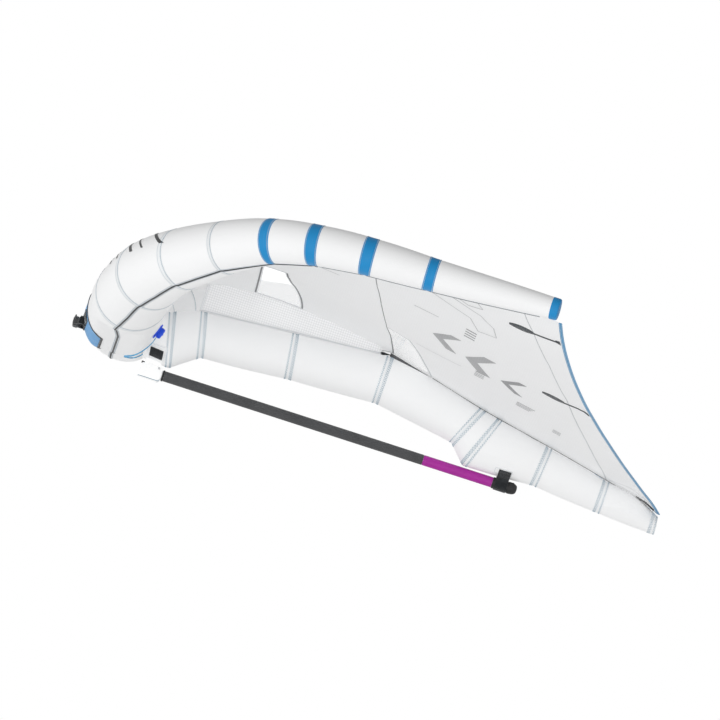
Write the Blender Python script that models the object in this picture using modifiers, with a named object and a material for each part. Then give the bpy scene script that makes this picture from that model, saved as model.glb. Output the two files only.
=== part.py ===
# Wingfoil wing: inflated leading edge and strut, canopy with clear windows,
# rigid boom in a front socket and a rear strap. Metres, +Z up, nose towards -Y.
import math

import bmesh
import bpy
import numpy as np
from mathutils import Matrix, Vector
from mathutils.bvhtree import BVHTree

# ---------------------------------------------------------------- dimensions
GAP = 0.0004                 # clearance between touching pieces
BOOM_Z = -0.137              # boom axis below the leading edge axis
BOOM_D = 0.036               # boom outer diameter
GRIP_Y0, GRIP_Y1 = 0.1965, 1.134
TAIL_Y0, TAIL_Y1 = 1.1345, 1.3850
CAP_Y1 = 1.473
HOLD_Y = 0.640               # where the hands hold: the frame's origin
SWING_Y, SWING_Z = 0.118, -0.1058   # axis on which boom and socket hang
HANDLE_Y, HANDLE_Z = -0.1300, -0.0470
CANOPY_T = 0.0010
WINDOW_T = 0.0006
LE_SIDES = 24
STRUT_SIDES = 20
TIP_SPLIT = 2.4985           # arc length at which the tip cap starts
TIP_END = 2.5370
TE_TAPE = 0.0120             # width of the trailing edge tape
VALVE_L, VALVE_ANGLE = 0.3548, -19.0

# x, y, z and diameter of the leading edge at its segment seams, half a wing
LE_RINGS = [
    (0, 0, 0, .259), (.709, .015, .046, .257), (.895, .051, .110, .243),
    (1.076, .141, .183, .210), (1.212, .268, .254, .180), (1.342, .419, .314, .151),
    (1.400, .556, .340, .137), (1.435, .732, .355, .127), (1.447, .949, .361, .111),
    (1.502, 1.383, .375, .072), (1.510, 1.440, .3765, .066),
]
LE_STATIONS = [
    0, .12, .24, .36, .48, .60, .7106, .81, .9106, 1.02, 1.1255, 1.225, 1.3247,
    1.43, 1.5328, 1.608, 1.6838, 1.774, 1.8639, 1.97, 2.0813, 2.22, 2.36,
]
# strut sections: top point and bottom point in the centre plane, half width
STRUT_RINGS = [
    ((.085, .062), (.105, -.098), .095), ((.155, .080), (.2025, -.105), .095),
    ((.190, .098), (.2215, -.1024), .096), ((.258, .116), (.296, -.037), .080),
    ((.400, .1250), (.405, -.0300), .078), ((.583, .1420), (.6046, -.0155), .079),
    ((.750, .1520), (.760, -.0080), .080), ((.918, .1680), (.917, -.0010), .082),
    ((1.090, .1360), (1.060, -.0090), .074), ((1.200, .1090), (1.159, -.0206), .071),
    ((1.280, .0890), (1.210, -.0500), .078), ((1.345, .0755), (1.270, -.1130), .092),
    ((1.420, .0600), (1.390, -.1090), .086), ((1.536, .0355), (1.522, -.1040), .073),
    ((1.7585, -.0130), (1.757, -.1250), .056), ((1.900, -.0440), (1.900, -.1330), .045),
    ((1.965, -.0755), (1.970, -.1365), .031),
]
# keel line of the canopy in the centre plane
KEEL = [
    (.0225, .1305), (.07, .149), (.12, .169), (.17, .1875), (.22, .2045), (.30, .2265),
    (.407, .2345), (.50, .2345), (.578, .230), (.70, .2185), (.80, .2035), (.915, .183),
    (1.09, .139), (1.267, .094), (1.5, .046), (1.7, .004), (1.85, -.029), (1.92, -.046),
    (1.9595, -.066),
]
# height of the trailing edge against x
TE_Z = [
    (0, -.0660), (.1, -.0442), (.2, -.0284), (.3, -.0117), (.4, .0055), (.5, .0232),
    (.6, .0426), (.7, .0628), (.8, .0836), (.9, .1066), (1.0, .1302), (1.1, .1584),
    (1.2, .1905), (1.3, .2288), (1.4, .2756), (1.45, .3054), (1.49, .3346),
]
TE_Y0, TE_SLOPE = 1.9595, -.37517
# span stations of the canopy: arc length on the leading edge, x on the trailing edge
SPAN = [
    (.0003, .0003), (.02, .02), (.12, .12), (.24, .24), (.32, .32), (.40, .40), (.50, .50),
    (.60, .60), (.7106, .70), (.81, .78), (.9106, .85), (1.02, .92), (1.1255, .98),
    (1.225, 1.035), (1.3247, 1.09), (1.43, 1.15), (1.5328, 1.205), (1.608, 1.245),
    (1.6838, 1.285), (1.774, 1.325), (1.8639, 1.36), (1.97, 1.395), (2.0813, 1.425),
    (2.15, 1.439), (2.22, 1.452), (2.29, 1.463), (2.36, 1.474), (2.42, 1.482), (2.478, 1.489),
]
CHORD = [None, .09, .16, .22, .30, 'w1f', 'w1m', 'w1r', .70, .80, 'w2f', 'w2r', 1.18,
         1.267, 1.4, 1.5, 1.6, 1.73, 1.85, 1.92, None]
# where round the tube the canopy is sewn, degrees above the rearward direction
ATTACH = [(0, 80), (.7, 80), (1.3, 72), (1.86, 62), (2.1, 46), (2.22, 30), (2.36, -4), (2.5, -54)]
# battens: plan points (x, y) of the inner patch, the pocket and the end patch
BATTENS = {
    'outer': ((1.238, 1.2496), (1.2764, 1.3357), (1.325, 1.408)),
    'inner': ((.783, 1.4293), (.7745, 1.5171), (.812, 1.604)),
}

for o in list(bpy.data.objects):
    bpy.data.objects.remove(o, do_unlink=True)

COL = bpy.data.collections.new('wingfoil_wing')
bpy.context.scene.collection.children.link(COL)


# ------------------------------------------------------------------ helpers
def material(name, rgb, rough=.5, metal=0.0):
    m = bpy.data.materials.get(name) or bpy.data.materials.new(name)
    m.use_nodes = True
    b = m.node_tree.nodes['Principled BSDF']
    b.inputs['Base Color'].default_value = (*rgb, 1)
    b.inputs['Roughness'].default_value = rough
    b.inputs['Metallic'].default_value = metal
    m.diffuse_color = (*rgb, 1)
    return m


def add(name, mesh, mat, smooth=True):
    o = bpy.data.objects.new(name, mesh)
    COL.objects.link(o)
    o.data.materials.clear()
    o.data.materials.append(mat)
    if smooth:
        for p in o.data.polygons:
            p.use_smooth = True
    return o


def from_bmesh(name, bm, mat, smooth=True):
    bmesh.ops.recalc_face_normals(bm, faces=bm.faces)
    me = bpy.data.meshes.new(name)
    bm.to_mesh(me)
    bm.free()
    return add(name, me, mat, smooth)


def turned(name, profile, mat, at, axis=(0, 1, 0), steps=24, closed=False):
    """A turned piece: (radius, height) profile spun round an axis."""
    me = bpy.data.meshes.new(name)
    n = len(profile)
    edges = [(i, i + 1) for i in range(n - 1)]
    if closed:
        edges.append((n - 1, 0))
    me.from_pydata([(r, 0, h) for r, h in profile], edges, [])
    o = add(name, me, mat)
    m = o.modifiers.new('Turn', 'SCREW')
    m.axis = 'Z'
    m.angle = 2 * math.pi
    m.steps = steps
    m.render_steps = steps
    m.use_merge_vertices = True
    m.merge_threshold = 1e-5
    m.use_smooth_shade = True
    o.rotation_mode = 'QUATERNION'
    o.rotation_quaternion = Vector((0, 0, 1)).rotation_difference(Vector(axis))
    o.location = at
    return o


def sweep(name, points, radii, mat, resolution):
    """A closed tube along points: a curve with a round bevel and filled ends."""
    cu = bpy.data.curves.new(name, 'CURVE')
    cu.dimensions = '3D'
    cu.twist_mode = 'Z_UP'
    cu.bevel_depth = 1.0
    cu.bevel_resolution = resolution
    cu.use_fill_caps = True
    sp = cu.splines.new('POLY')
    sp.points.add(len(points) - 1)
    for i, p in enumerate(points):
        sp.points[i].co = (*p, 1)
        sp.points[i].radius = radii[i]
    tmp = bpy.data.objects.new(name + '_curve', cu)
    COL.objects.link(tmp)
    dg = bpy.context.evaluated_depsgraph_get()
    me = bpy.data.meshes.new_from_object(tmp.evaluated_get(dg))
    bpy.data.objects.remove(tmp, do_unlink=True)
    bm = bmesh.new()
    bm.from_mesh(me)
    bmesh.ops.remove_doubles(bm, verts=bm.verts, dist=1e-5)
    return from_bmesh(name, bm, mat)


def loft(name, rings, mat, smooth=True):
    """A closed loft between unlike sections of equal point count."""
    bm = bmesh.new()
    vs = [[bm.verts.new(p) for p in r] for r in rings]
    n = len(rings[0])
    for a, b in zip(vs, vs[1:]):
        for i in range(n):
            bm.faces.new((a[i], a[(i + 1) % n], b[(i + 1) % n], b[i]))
    bm.faces.new(vs[0])
    bm.faces.new(list(reversed(vs[-1])))
    return from_bmesh(name, bm, mat, smooth)


def tree_of(o):
    dg = bpy.context.evaluated_depsgraph_get()
    return BVHTree.FromObject(o.evaluated_get(dg), dg)


def apply_modifiers(o):
    dg = bpy.context.evaluated_depsgraph_get()
    me = bpy.data.meshes.new_from_object(o.evaluated_get(dg))
    o.modifiers.clear()
    o.data = me
    return o


def cut(o, cutter):
    m = o.modifiers.new('Cut', 'BOOLEAN')
    m.operation = 'DIFFERENCE'
    m.solver = 'EXACT'
    m.object = cutter
    bpy.context.view_layer.update()
    apply_modifiers(o)
    bpy.data.objects.remove(cutter, do_unlink=True)
    return o


def rod(radius, length, at, axis, sides=48):
    """A plain cylinder used to cut with."""
    bm = bmesh.new()
    bmesh.ops.create_cone(bm, cap_ends=True, segments=sides, radius1=radius, radius2=radius, depth=length)
    me = bpy.data.meshes.new('cutter')
    bm.to_mesh(me)
    bm.free()
    o = bpy.data.objects.new('cutter', me)
    COL.objects.link(o)
    o.rotation_mode = 'QUATERNION'
    o.rotation_quaternion = Vector((0, 0, 1)).rotation_difference(Vector(axis))
    o.location = at
    o.hide_render = True
    o.display_type = 'WIRE'
    bpy.context.view_layer.update()
    return o


# ---------------------------------------------------------------- materials
WHITE = material('sleeve_white', (.86, .87, .88), .55)
CANOPY = material('canopy_white', (.72, .74, .75), .50)
CLEAR = material('window_film', (.93, .95, .96), .12)
SCRIM = material('web_scrim', (.80, .81, .82), .50)
BLUE = material('band_blue', (.03, .27, .68), .45)
NOSE = material('nose_blue', (.10, .36, .68), .50)
BLACK = material('webbing_black', (.010, .012, .014), .75)
BATTEN = material('batten_grey', (.045, .05, .055), .70)
GRIP = material('grip_grey', (.065, .065, .068), .80)
PURPLE = material('tail_purple', (.40, .018, .32), .45)
ALLOY = material('tube_alloy', (.55, .56, .58), .30, 1.0)
PLASTIC = material('fitting_black', (.012, .012, .013), .45)
SOCKET = material('fitting_white', (.88, .88, .88), .40)
VALVE = material('valve_blue', (.02, .07, .55), .40)

# ------------------------------------------------------- leading edge curve
_pts = np.array([(-x, y, z, d) for x, y, z, d in LE_RINGS[:0:-1]] + [tuple(map(float, p)) for p in LE_RINGS])
_len = np.concatenate([[0], np.cumsum(np.linalg.norm(np.diff(_pts[:, :3], axis=0), axis=1))])
_len -= _len[len(LE_RINGS) - 1]


def _second(t, y):
    n = len(t)
    h = np.diff(t)
    a = np.zeros((n, n))
    b = np.zeros((n, y.shape[1]))
    a[0, 0] = a[-1, -1] = 1
    for i in range(1, n - 1):
        a[i, i - 1], a[i, i], a[i, i + 1] = h[i - 1], 2 * (h[i - 1] + h[i]), h[i]
        b[i] = 6 * ((y[i + 1] - y[i]) / h[i] - (y[i] - y[i - 1]) / h[i - 1])
    return np.linalg.solve(a, b)


_m = _second(_len, _pts[:, :3])


def centre(s):
    i = int(min(max(np.searchsorted(_len, s) - 1, 0), len(_len) - 2))
    h = _len[i + 1] - _len[i]
    a, c = (_len[i + 1] - s) / h, (s - _len[i]) / h
    return (a * _pts[i, :3] + c * _pts[i + 1, :3]
            + ((a**3 - a) * _m[i] + (c**3 - c) * _m[i + 1]) * h * h / 6)


def radius(s):
    k = len(LE_RINGS) - 1
    return float(np.interp(abs(s), _len[k:], _pts[k:, 3])) / 2


def frame(s):
    """Centre, tangent, upward and rearward directions of the tube at arc length s."""
    t = centre(s + 1e-4) - centre(s - 1e-4)
    t /= np.linalg.norm(t)
    up = np.array([0, 0, 1.0]) - t * t[2]
    up /= np.linalg.norm(up)
    return centre(s), t, up, np.cross(up, t)


def on_tube(s, deg, off=0.0):
    c, _, up, rear = frame(s)
    a = math.radians(deg)
    return c + (radius(s) + off) * (math.cos(a) * rear + math.sin(a) * up)


def table(rows, x):
    return float(np.interp(x, [r[0] for r in rows], [r[1] for r in rows]))


# ------------------------------------------------------------ inflated tubes
half = LE_STATIONS[1:] + [TIP_SPLIT - GAP]
stations = [-s for s in reversed(half)] + [0.0] + half
leading_edge = sweep('leading_edge', [centre(s) for s in stations], [radius(s) for s in stations], WHITE, LE_SIDES // 2 - 2)

cap_s = [TIP_SPLIT, 2.512, 2.524, 2.5315, 2.5355, TIP_END]
cap_k = [1.02, 1.02, .985, .88, .70, .40]
for side, name in ((1, 'tip_cap_right'), (-1, 'tip_cap_left')):
    sweep(name, [centre(side * s) for s in cap_s], [radius(s) * k for s, k in zip(cap_s, cap_k)], BLUE, 8)


def strut_ring(top, bottom, w, grow=0.0):
    t, b = np.array(top), np.array(bottom)
    mid, axis = (t + b) / 2, (t - b) / 2
    L = np.linalg.norm(axis)
    out = []
    for i in range(STRUT_SIDES):
        a = 2 * math.pi * i / STRUT_SIDES
        v = mid + axis * math.cos(a) * (L + grow) / L
        out.append((math.sin(a) * (w + grow), float(v[0]), float(v[1])))
    return out


strut = loft('strut', [strut_ring(*r) for r in STRUT_RINGS], WHITE)
cut(strut, rod(.1302, .6, (0, 0, 0), (1, 0, 0), 72))
for p in strut.data.polygons:
    p.use_smooth = True
STRUT_TREE = tree_of(strut)


def strut_x(y, z, off=0.0):
    """Outer surface of the strut, right side, at that y and z."""
    hit = STRUT_TREE.ray_cast(Vector((.5, y, z)), Vector((-1, 0, 0)))
    return hit[0].x + off


def strut_top(y):
    return table([r[0] for r in STRUT_RINGS], y)


# ------------------------------------------------------------------- canopy
def te_point(x):
    return np.array([x, TE_Y0 + TE_SLOPE * x, table(TE_Z, x)])


def attach(s):
    return on_tube(s, table(ATTACH, s), .0018 + .014 * max(0.0, s - 1.9))


def camber(t):
    (y0, z0), (y1, z1) = KEEL[0], KEEL[-1]
    return table(KEEL, y0 + (y1 - y0) * t) - (z0 + (z1 - z0) * t)


def chord_fractions(k):
    x = min(SPAN[k][1], .6)
    w = {'w1f': .407 - (.005 / .58) * (x - .02), 'w1r': .578 - (.089 / .58) * (x - .02),
         'w2f': .919 - (.042 / .38) * (x - .02), 'w2r': 1.07 - (.114 / .38) * (x - .02)}
    w['w1m'] = (w['w1f'] + w['w1r']) / 2
    s, xt = SPAN[min(k, 7)]
    f, r = attach(s), te_point(xt)
    out = []
    for v in CHORD[1:-1]:
        y = w[v] if isinstance(v, str) else v
        if y > 1.1:
            y = w['w2r'] + (r[1] - w['w2r']) * (y - 1.07) / (TE_Y0 - 1.07)
        out.append(float((y - f[1]) / (r[1] - f[1])))
    return [0.0] + out + [1.0]


def canopy_grid():
    f0, r0 = attach(SPAN[0][0]), te_point(SPAN[0][1])
    c0 = np.linalg.norm((r0 - f0)[:2])
    rows = []
    for k, (s, x) in enumerate(SPAN):
        f, r = attach(s), te_point(x)
        c = np.linalg.norm((r - f)[:2]) / c0
        row = []
        for t in chord_fractions(k):
            p = f + (r - f) * t
            p[2] += camber(t) * c**.9 + .001
            row.append(p)
        rows.append(row)
    return rows


GRID = canopy_grid()
W1F, W1R, W2F, W2R = (CHORD.index(k) for k in ('w1f', 'w1r', 'w2f', 'w2r'))
WINDOWS = {'window_front': (1, 7, W1F, W1R), 'window_rear': (1, 5, W2F, W2R)}


def in_window(i, j):
    return any(a <= i < b and c <= j < d for a, b, c, d in WINDOWS.values())


def surface(name, cells, side, mat, thickness, inset=0.0, lift=0.0):
    """A sheet over chosen cells of the canopy grid, given a real thickness."""
    ii = sorted({c[0] for c in cells} | {c[0] + 1 for c in cells})
    jj = sorted({c[1] for c in cells} | {c[1] + 1 for c in cells})
    bm = bmesh.new()
    vs = {}

    def vert(i, j):
        if (i, j) not in vs:
            p = np.array(GRID[i][j], float)
            if inset:
                a = np.array(GRID[min(i + 1, ii[-1])][j]) - np.array(GRID[max(i - 1, ii[0])][j])
                b = np.array(GRID[i][min(j + 1, jj[-1])]) - np.array(GRID[i][max(j - 1, jj[0])])
                a, b = a / np.linalg.norm(a), b / np.linalg.norm(b)
                if i == ii[0]:
                    p += a * inset
                if i == ii[-1]:
                    p -= a * inset
                if j == jj[0]:
                    p += b * inset
                if j == jj[-1]:
                    p -= b * inset
            vs[(i, j)] = bm.verts.new((side * p[0], p[1], p[2] + lift))
        return vs[(i, j)]

    for i, j in cells:
        q = [vert(i, j), vert(i + 1, j), vert(i + 1, j + 1), vert(i, j + 1)]
        if side > 0:
            bm.faces.new((q[0], q[1], q[2]))
            bm.faces.new((q[0], q[2], q[3]))
        else:
            bm.faces.new((q[2], q[1], q[0]))
            bm.faces.new((q[3], q[2], q[0]))
    me = bpy.data.meshes.new(name)
    bm.to_mesh(me)
    bm.free()
    o = add(name, me, mat)
    base = BVHTree.FromPolygons([v.co.copy() for v in me.vertices], [tuple(p.vertices) for p in me.polygons])
    m = o.modifiers.new('Thickness', 'SOLIDIFY')
    m.thickness = thickness
    m.offset = 1.0
    m.use_rim = True
    return o, base


BASE = {}
for side, tag in ((1, 'right'), (-1, 'left')):
    ni, nj = len(GRID) - 1, len(GRID[0]) - 1
    cells = [(i, j) for i in range(ni) for j in range(nj) if not in_window(i, j)]
    _, BASE[side] = surface('canopy_' + tag, cells, side, CANOPY, CANOPY_T)
    for wname, (a, b, c, d) in WINDOWS.items():
        cells = [(i, j) for i in range(a, b) for j in range(c, d)]
        surface(wname + '_' + tag, cells, side, CLEAR, WINDOW_T, inset=.0007, lift=.0002)


def under(side, x, y):
    """Height of the canopy's underside at a plan point."""
    hit = BASE[side].ray_cast(Vector((side * x, y, -1)), Vector((0, 0, 1)))
    return hit[0].z


def strip_under(name, side, path, widths, thick, gap, mat):
    """A flat strip lying along the canopy's underside."""
    rings = []
    for k, (x, y) in enumerate(path):
        a = path[max(k - 1, 0)]
        b = path[min(k + 1, len(path) - 1)]
        d = np.array([b[0] - a[0], b[1] - a[1]])
        d /= np.linalg.norm(d)
        n = np.array([-d[1], d[0]])
        w = widths[k] / 2
        pts = [(x + n[0] * w * u, y + n[1] * w * u) for u in (-1, 1)]
        zs = [under(side, *p) - gap for p in pts]
        zm = under(side, x, y) - gap
        low = min(0.0, zm - (zs[0] + zs[1]) / 2)
        ring = [(side * pts[0][0], pts[0][1], zs[0] + low), (side * pts[1][0], pts[1][1], zs[1] + low),
                (side * pts[1][0], pts[1][1], zs[1] + low - thick), (side * pts[0][0], pts[0][1], zs[0] + low - thick)]
        rings.append(ring)
    return loft(name, rings, mat, False)


def along(a, b, n):
    return [(a[0] + (b[0] - a[0]) * i / n, a[1] + (b[1] - a[1]) * i / n) for i in range(n + 1)]


for side, tag in ((1, 'right'), (-1, 'left')):
    for which, (p0, p1, p2) in BATTENS.items():
        lens = along(p0, p1, 8)
        shape = [.006, .016, .022, .025, .026, .025, .022, .016, .008]
        strip_under('batten_patch_%s_%s' % (which, tag), side, lens, shape, .0016, .0007, BATTEN)
        d = np.array(p2) - np.array(p1)
        d /= np.linalg.norm(d)
        start = tuple(np.array(p1) + d * .0060)
        strip_under('batten_%s_%s' % (which, tag), side, along(start, p2, 8), [.008] * 9, .0030, .0007, BATTEN)

# trailing edge tape, butted to the sheet's edge
for side, tag in ((1, 'right'), (-1, 'left')):
    nrm = np.array([-TE_SLOPE, 1.0])
    nrm /= np.linalg.norm(nrm)
    rings = []
    for x in [.0006] + [i * .05 for i in range(1, 30)] + [1.487]:
        p = te_point(x) + np.array([0, 0, .001 + CANOPY_T / 2])
        a = p[:2] + nrm * GAP * 1.5
        b = p[:2] + nrm * TE_TAPE
        rings.append([(side * a[0], a[1], p[2] - .0014), (side * b[0], b[1], p[2] - .0014),
                      (side * b[0], b[1], p[2] + .0014), (side * a[0], a[1], p[2] + .0014)])
    loft('trailing_edge_tape_' + tag, rings, BLUE, False)

# fore and aft web between the strut and the keel of the canopy
ys = sorted({round(y, 4) for y in [.245, .262, .28, .30, .34, .40, .407, .46, .50, .578, .583, .64, .70, .75, .80, .85, .885]})
rings = []
for y in ys:
    lo = strut_top(y) + .0010
    hi = table(KEEL, y) + .001 - .0012
    w = .0006
    rings.append([(-w, y, lo), (w, y, lo), (w, y, hi), (-w, y, hi)])
loft('strut_web', rings, SCRIM, False)

# dark reinforcement where the sheet's tail ends on the strut
for side, tag in ((1, 'right'), (-1, 'left')):
    path = along((.014, 1.80), (.020, 1.945), 6)
    strip_under('tail_patch_' + tag, side, path, [.010, .014, .018, .022, .026, .028, .028], .0012, .0007, BATTEN)


# ------------------------------------------------- patches on the tube's nose
def tube_patch(name, s_vals, d_of_s, mat, off, thick, n=10):
    """A sewn patch on the leading edge tube. d_of_s gives its edges in degrees."""
    rings = []
    for s in s_vals:
        d0, d1 = d_of_s(s)
        degs = [d0 + (d1 - d0) * i / n for i in range(n + 1)]
        rings.append([tuple(on_tube(s, d, off)) for d in degs] + [tuple(on_tube(s, d, off + thick)) for d in reversed(degs)])
    return loft(name, rings, mat)


NOSE_W = .280
CH = .055


def nose_edges(s, grow=0.0):
    """Upper and lower edge of the nose patch, with cut corners."""
    k = max(0.0, abs(s) - (NOSE_W - CH)) / CH
    return 168 + 12 * k - grow, 247 - 14 * k + grow


ns = [-NOSE_W, -.2525, -.225, -.18, -.12, -.06, 0, .06, .12, .18, .225, .2525, NOSE_W]
tube_patch('nose_patch', ns, nose_edges, NOSE, .0008, .0012, 16)


def trim_ring(name, mat):
    """The dark border sewn round the nose patch: a flat closed frame."""
    inner, outer = [], []
    ss = [-.225, -.18, -.12, -.06, 0, .06, .12, .18, .225]
    gi, go = .35, 2.9
    lo_i = [(s, nose_edges(s)[1] + gi) for s in ss]
    lo_o = [(s, nose_edges(s)[1] + go) for s in ss]
    hi_i = [(s, nose_edges(s)[0] - gi) for s in ss]
    hi_o = [(s, nose_edges(s)[0] - go) for s in ss]
    e0, e1 = nose_edges(NOSE_W)
    xi, xo = NOSE_W + .0008, NOSE_W + .0068
    n = 8
    right_i = [(xi, e1 + .3 + (e0 - e1 - .6) * i / n) for i in range(n + 1)]
    right_o = [(xo, e1 + 1.2 + (e0 - e1 - 2.4) * i / n) for i in range(n + 1)]
    inner = lo_i + right_i + hi_i[::-1] + [(-s, d) for s, d in right_i[::-1]]
    outer = lo_o + right_o + hi_o[::-1] + [(-s, d) for s, d in right_o[::-1]]
    fine_i, fine_o = [], []
    for k in range(len(inner)):
        a, b = inner[k], inner[(k + 1) % len(inner)]
        c, d = outer[k], outer[(k + 1) % len(outer)]
        m = max(1, math.ceil(max(abs(a[1] - b[1]), abs(c[1] - d[1])) / 5.0))
        for q in range(m):
            u = q / m
            fine_i.append((a[0] + (b[0] - a[0]) * u, a[1] + (b[1] - a[1]) * u))
            fine_o.append((c[0] + (d[0] - c[0]) * u, c[1] + (d[1] - c[1]) * u))
    inner, outer = fine_i, fine_o
    bm = bmesh.new()
    rows = []
    for off in (.0008, .0024):
        rows.append([[bm.verts.new(on_tube(s, d, off)) for s, d in loop] for loop in (inner, outer)])
    n = len(inner)
    (ai, ao), (bi, bo) = rows
    for i in range(n):
        j = (i + 1) % n
        bm.faces.new((ai[i], ai[j], ao[j], ao[i]))
        bm.faces.new((bi[i], bo[i], bo[j], bi[j]))
        bm.faces.new((ai[i], bi[i], bi[j], ai[j]))
        bm.faces.new((ao[i], ao[j], bo[j], bo[i]))
    return from_bmesh(name, bm, mat)


trim_ring('nose_patch_border', BLACK)

# carrying handle on the nose: sewn base, two legs and a padded bar in one loop
base_s = [-.105, -.09, -.06, -.03, 0, .03, .06, .09, .105]
HA = 180 + math.degrees(math.asin(.047 / .1295))
tube_patch('nose_handle_base', base_s, lambda s: (HA - 9.5, HA + 9.5), BLACK, .0024, .0026, 6)

path, wid = [], []
yb = HANDLE_Y - .0095
for i in range(21):
    u = -1 + 2 * i / 20
    x = .098 * u
    k = min(1.0, (1 - abs(u)) / .34)
    k = k * k * (3 - 2 * k)
    path.append((x, yb - .0260 * k, HANDLE_Z))
    wid.append((.0042 + .0048 * k, .0082 + .0058 * k))
rings = []
for i, (p, (t, h)) in enumerate(zip(path, wid)):
    a = Vector(path[max(i - 1, 0)])
    b = Vector(path[min(i + 1, len(path) - 1)])
    d = (b - a).normalized()
    n = Vector((0, 0, 1)).cross(d).normalized()
    ring = []
    for k in range(12):
        q = 2 * math.pi * k / 12
        cx, cz = math.cos(q), math.sin(q)
        r = 1.0 / (abs(cx)**4 + abs(cz)**4) ** .25
        v = Vector(p) + n * (t * cx * r) + Vector((0, 0, 1)) * (h * cz * r)
        ring.append(tuple(v))
    rings.append(ring)
handle = loft('nose_handle', rings, BLACK)

# ------------------------------------------------------------ inflation valve
vc, vt, vup, vrear = frame(VALVE_L)
va = math.radians(VALVE_ANGLE)
vn = math.cos(va) * vrear + math.sin(va) * vup
vr = radius(VALVE_L)
turned('valve_flange', [(0, .0042), (.017, .0042), (.0245, .0036), (.0270, .0022), (.0270, .0004), (0, .0004)], VALVE,
       tuple(vc + vn * (vr + .0008)), tuple(vn), 28)
cap = turned('valve_cap', [(0, .0150), (.0140, .0150), (.0165, .0140), (.0180, .0110), (.0180, .0050), (0, .0050)], VALVE,
             tuple(vc + vn * (vr + .0008)), tuple(vn), 28)

# ----------------------------------------------------------------------- boom
Y = (0, 1, 0)


def ring_profile(r0, r1, y0, y1, c=.0):
    """Hollow turned sleeve from y0 to y1, outer edges eased by c."""
    if c:
        return [(r0, y1), (r1 - c, y1), (r1, y1 - c), (r1, y0 + c), (r1 - c, y0), (r0, y0)]
    return [(r0, y1), (r1, y1), (r1, y0), (r0, y0)]


A0 = (0, 0, BOOM_Z)
turned('boom_tube', ring_profile(.0138, .0158, .1295, 1.132), ALLOY, A0, Y, 24, True)
turned('boom_grip', ring_profile(.0162, BOOM_D / 2, GRIP_Y0, GRIP_Y1, .001), GRIP, A0, Y, 28, True)
turned('boom_collar', ring_profile(.0162, .0200, .1890, .1960, .0012), PLASTIC, A0, Y, 28, True)
turned('boom_inner_tube', ring_profile(.0114, .0134, .900, 1.430), ALLOY, A0, Y, 24, True)
turned('boom_tail', ring_profile(.0138, BOOM_D / 2, TAIL_Y0, TAIL_Y1, .0008), PURPLE, A0, Y, 28, True)
cap_profile = [
    (.0138, 1.3855), (.0190, 1.3855), (.0198, 1.3865), (.0198, 1.4400), (.0190, 1.4445), (.0200, 1.4475),
    (.0196, 1.4560), (.0170, 1.4650), (.0120, 1.4708), (.0060, 1.4728), (0, 1.4732),
]
bore = [(0, 1.4315), (.0138, 1.4315)]
boom_end = turned('boom_end_cap', (bore + cap_profile)[::-1], PLASTIC, A0, Y, 28, False)

# white front socket: a moulded shoe with a blind bore for the tube
outline = [(.112, -.1075), (.1065, -.150), (.1065, -.1630), (.1790, -.1630), (.1875, -.1545), (.1875, -.1215), (.177, -.1075)]
cu = bpy.data.curves.new('front_socket', 'CURVE')
cu.dimensions = '2D'
cu.fill_mode = 'BOTH'
cu.extrude = .0275
cu.bevel_depth = 0.0
sp = cu.splines.new('POLY')
sp.points.add(len(outline) - 1)
for i, (y, z) in enumerate(outline):
    sp.points[i].co = (y, z, 0, 1)
sp.use_cyclic_u = True
tmp = bpy.data.objects.new('outline', cu)
COL.objects.link(tmp)
tmp.matrix_world = Matrix(((0, 0, 1, 0), (1, 0, 0, 0), (0, 1, 0, 0), (0, 0, 0, 1)))
bpy.context.view_layer.update()
dg = bpy.context.evaluated_depsgraph_get()
me = bpy.data.meshes.new_from_object(tmp.evaluated_get(dg))
me.transform(tmp.matrix_world)
bpy.data.objects.remove(tmp, do_unlink=True)
bm = bmesh.new()
bm.from_mesh(me)
bmesh.ops.remove_doubles(bm, verts=bm.verts, dist=1e-5)
bmesh.ops.dissolve_limit(bm, angle_limit=.01, verts=bm.verts, edges=bm.edges)
socket = from_bmesh('front_socket', bm, SOCKET, False)
bev = socket.modifiers.new('Bevel', 'BEVEL')
bev.width = .004
bev.segments = 2
bev.limit_method = 'ANGLE'
bev.angle_limit = math.radians(50)
apply_modifiers(socket)
cut(socket, rod(.0162, .10, (0, .129 + .05, BOOM_Z), (0, 1, 0), 32))


# ------------------------------------------------------ straps and sewn patches
def strut_patch(name, side, corner, u, v, nu, nv, off, thick, mat):
    """A patch lying on the strut's side: a (y, z) parallelogram from corner by u and v."""
    rings = []
    for i in range(nu + 1):
        row_in, row_out = [], []
        for j in range(nv + 1):
            y = corner[0] + u[0] * i / nu + v[0] * j / nv
            z = corner[1] + u[1] * i / nu + v[1] * j / nv
            x = strut_x(y, z)
            row_in.append((side * (x + off), y, z))
            row_out.append((side * (x + off + thick), y, z))
        rings.append(row_in + row_out[::-1])
    return loft(name, rings, mat, False)


for side, tag in ((1, 'right'), (-1, 'left')):
    # white patch and black keeper at the front, above the socket
    strut_patch('front_patch_' + tag, side, (.1340, -.0955), (.060, 0), (-.002, .055), 6, 5, .0022, .0010, WHITE)
    strut_patch('front_keeper_' + tag, side, (.1360, -.0850), (.048, -.001), (0, .025), 5, 3, .0046, .0030, BLACK)
    # white patch on the strut's side at the back, behind the strap's tab
    strut_patch('rear_patch_' + tag, side, (1.385, -.0930), (.066, .0015), (0, .030), 5, 3, .0012, .0008, WHITE)

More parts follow.
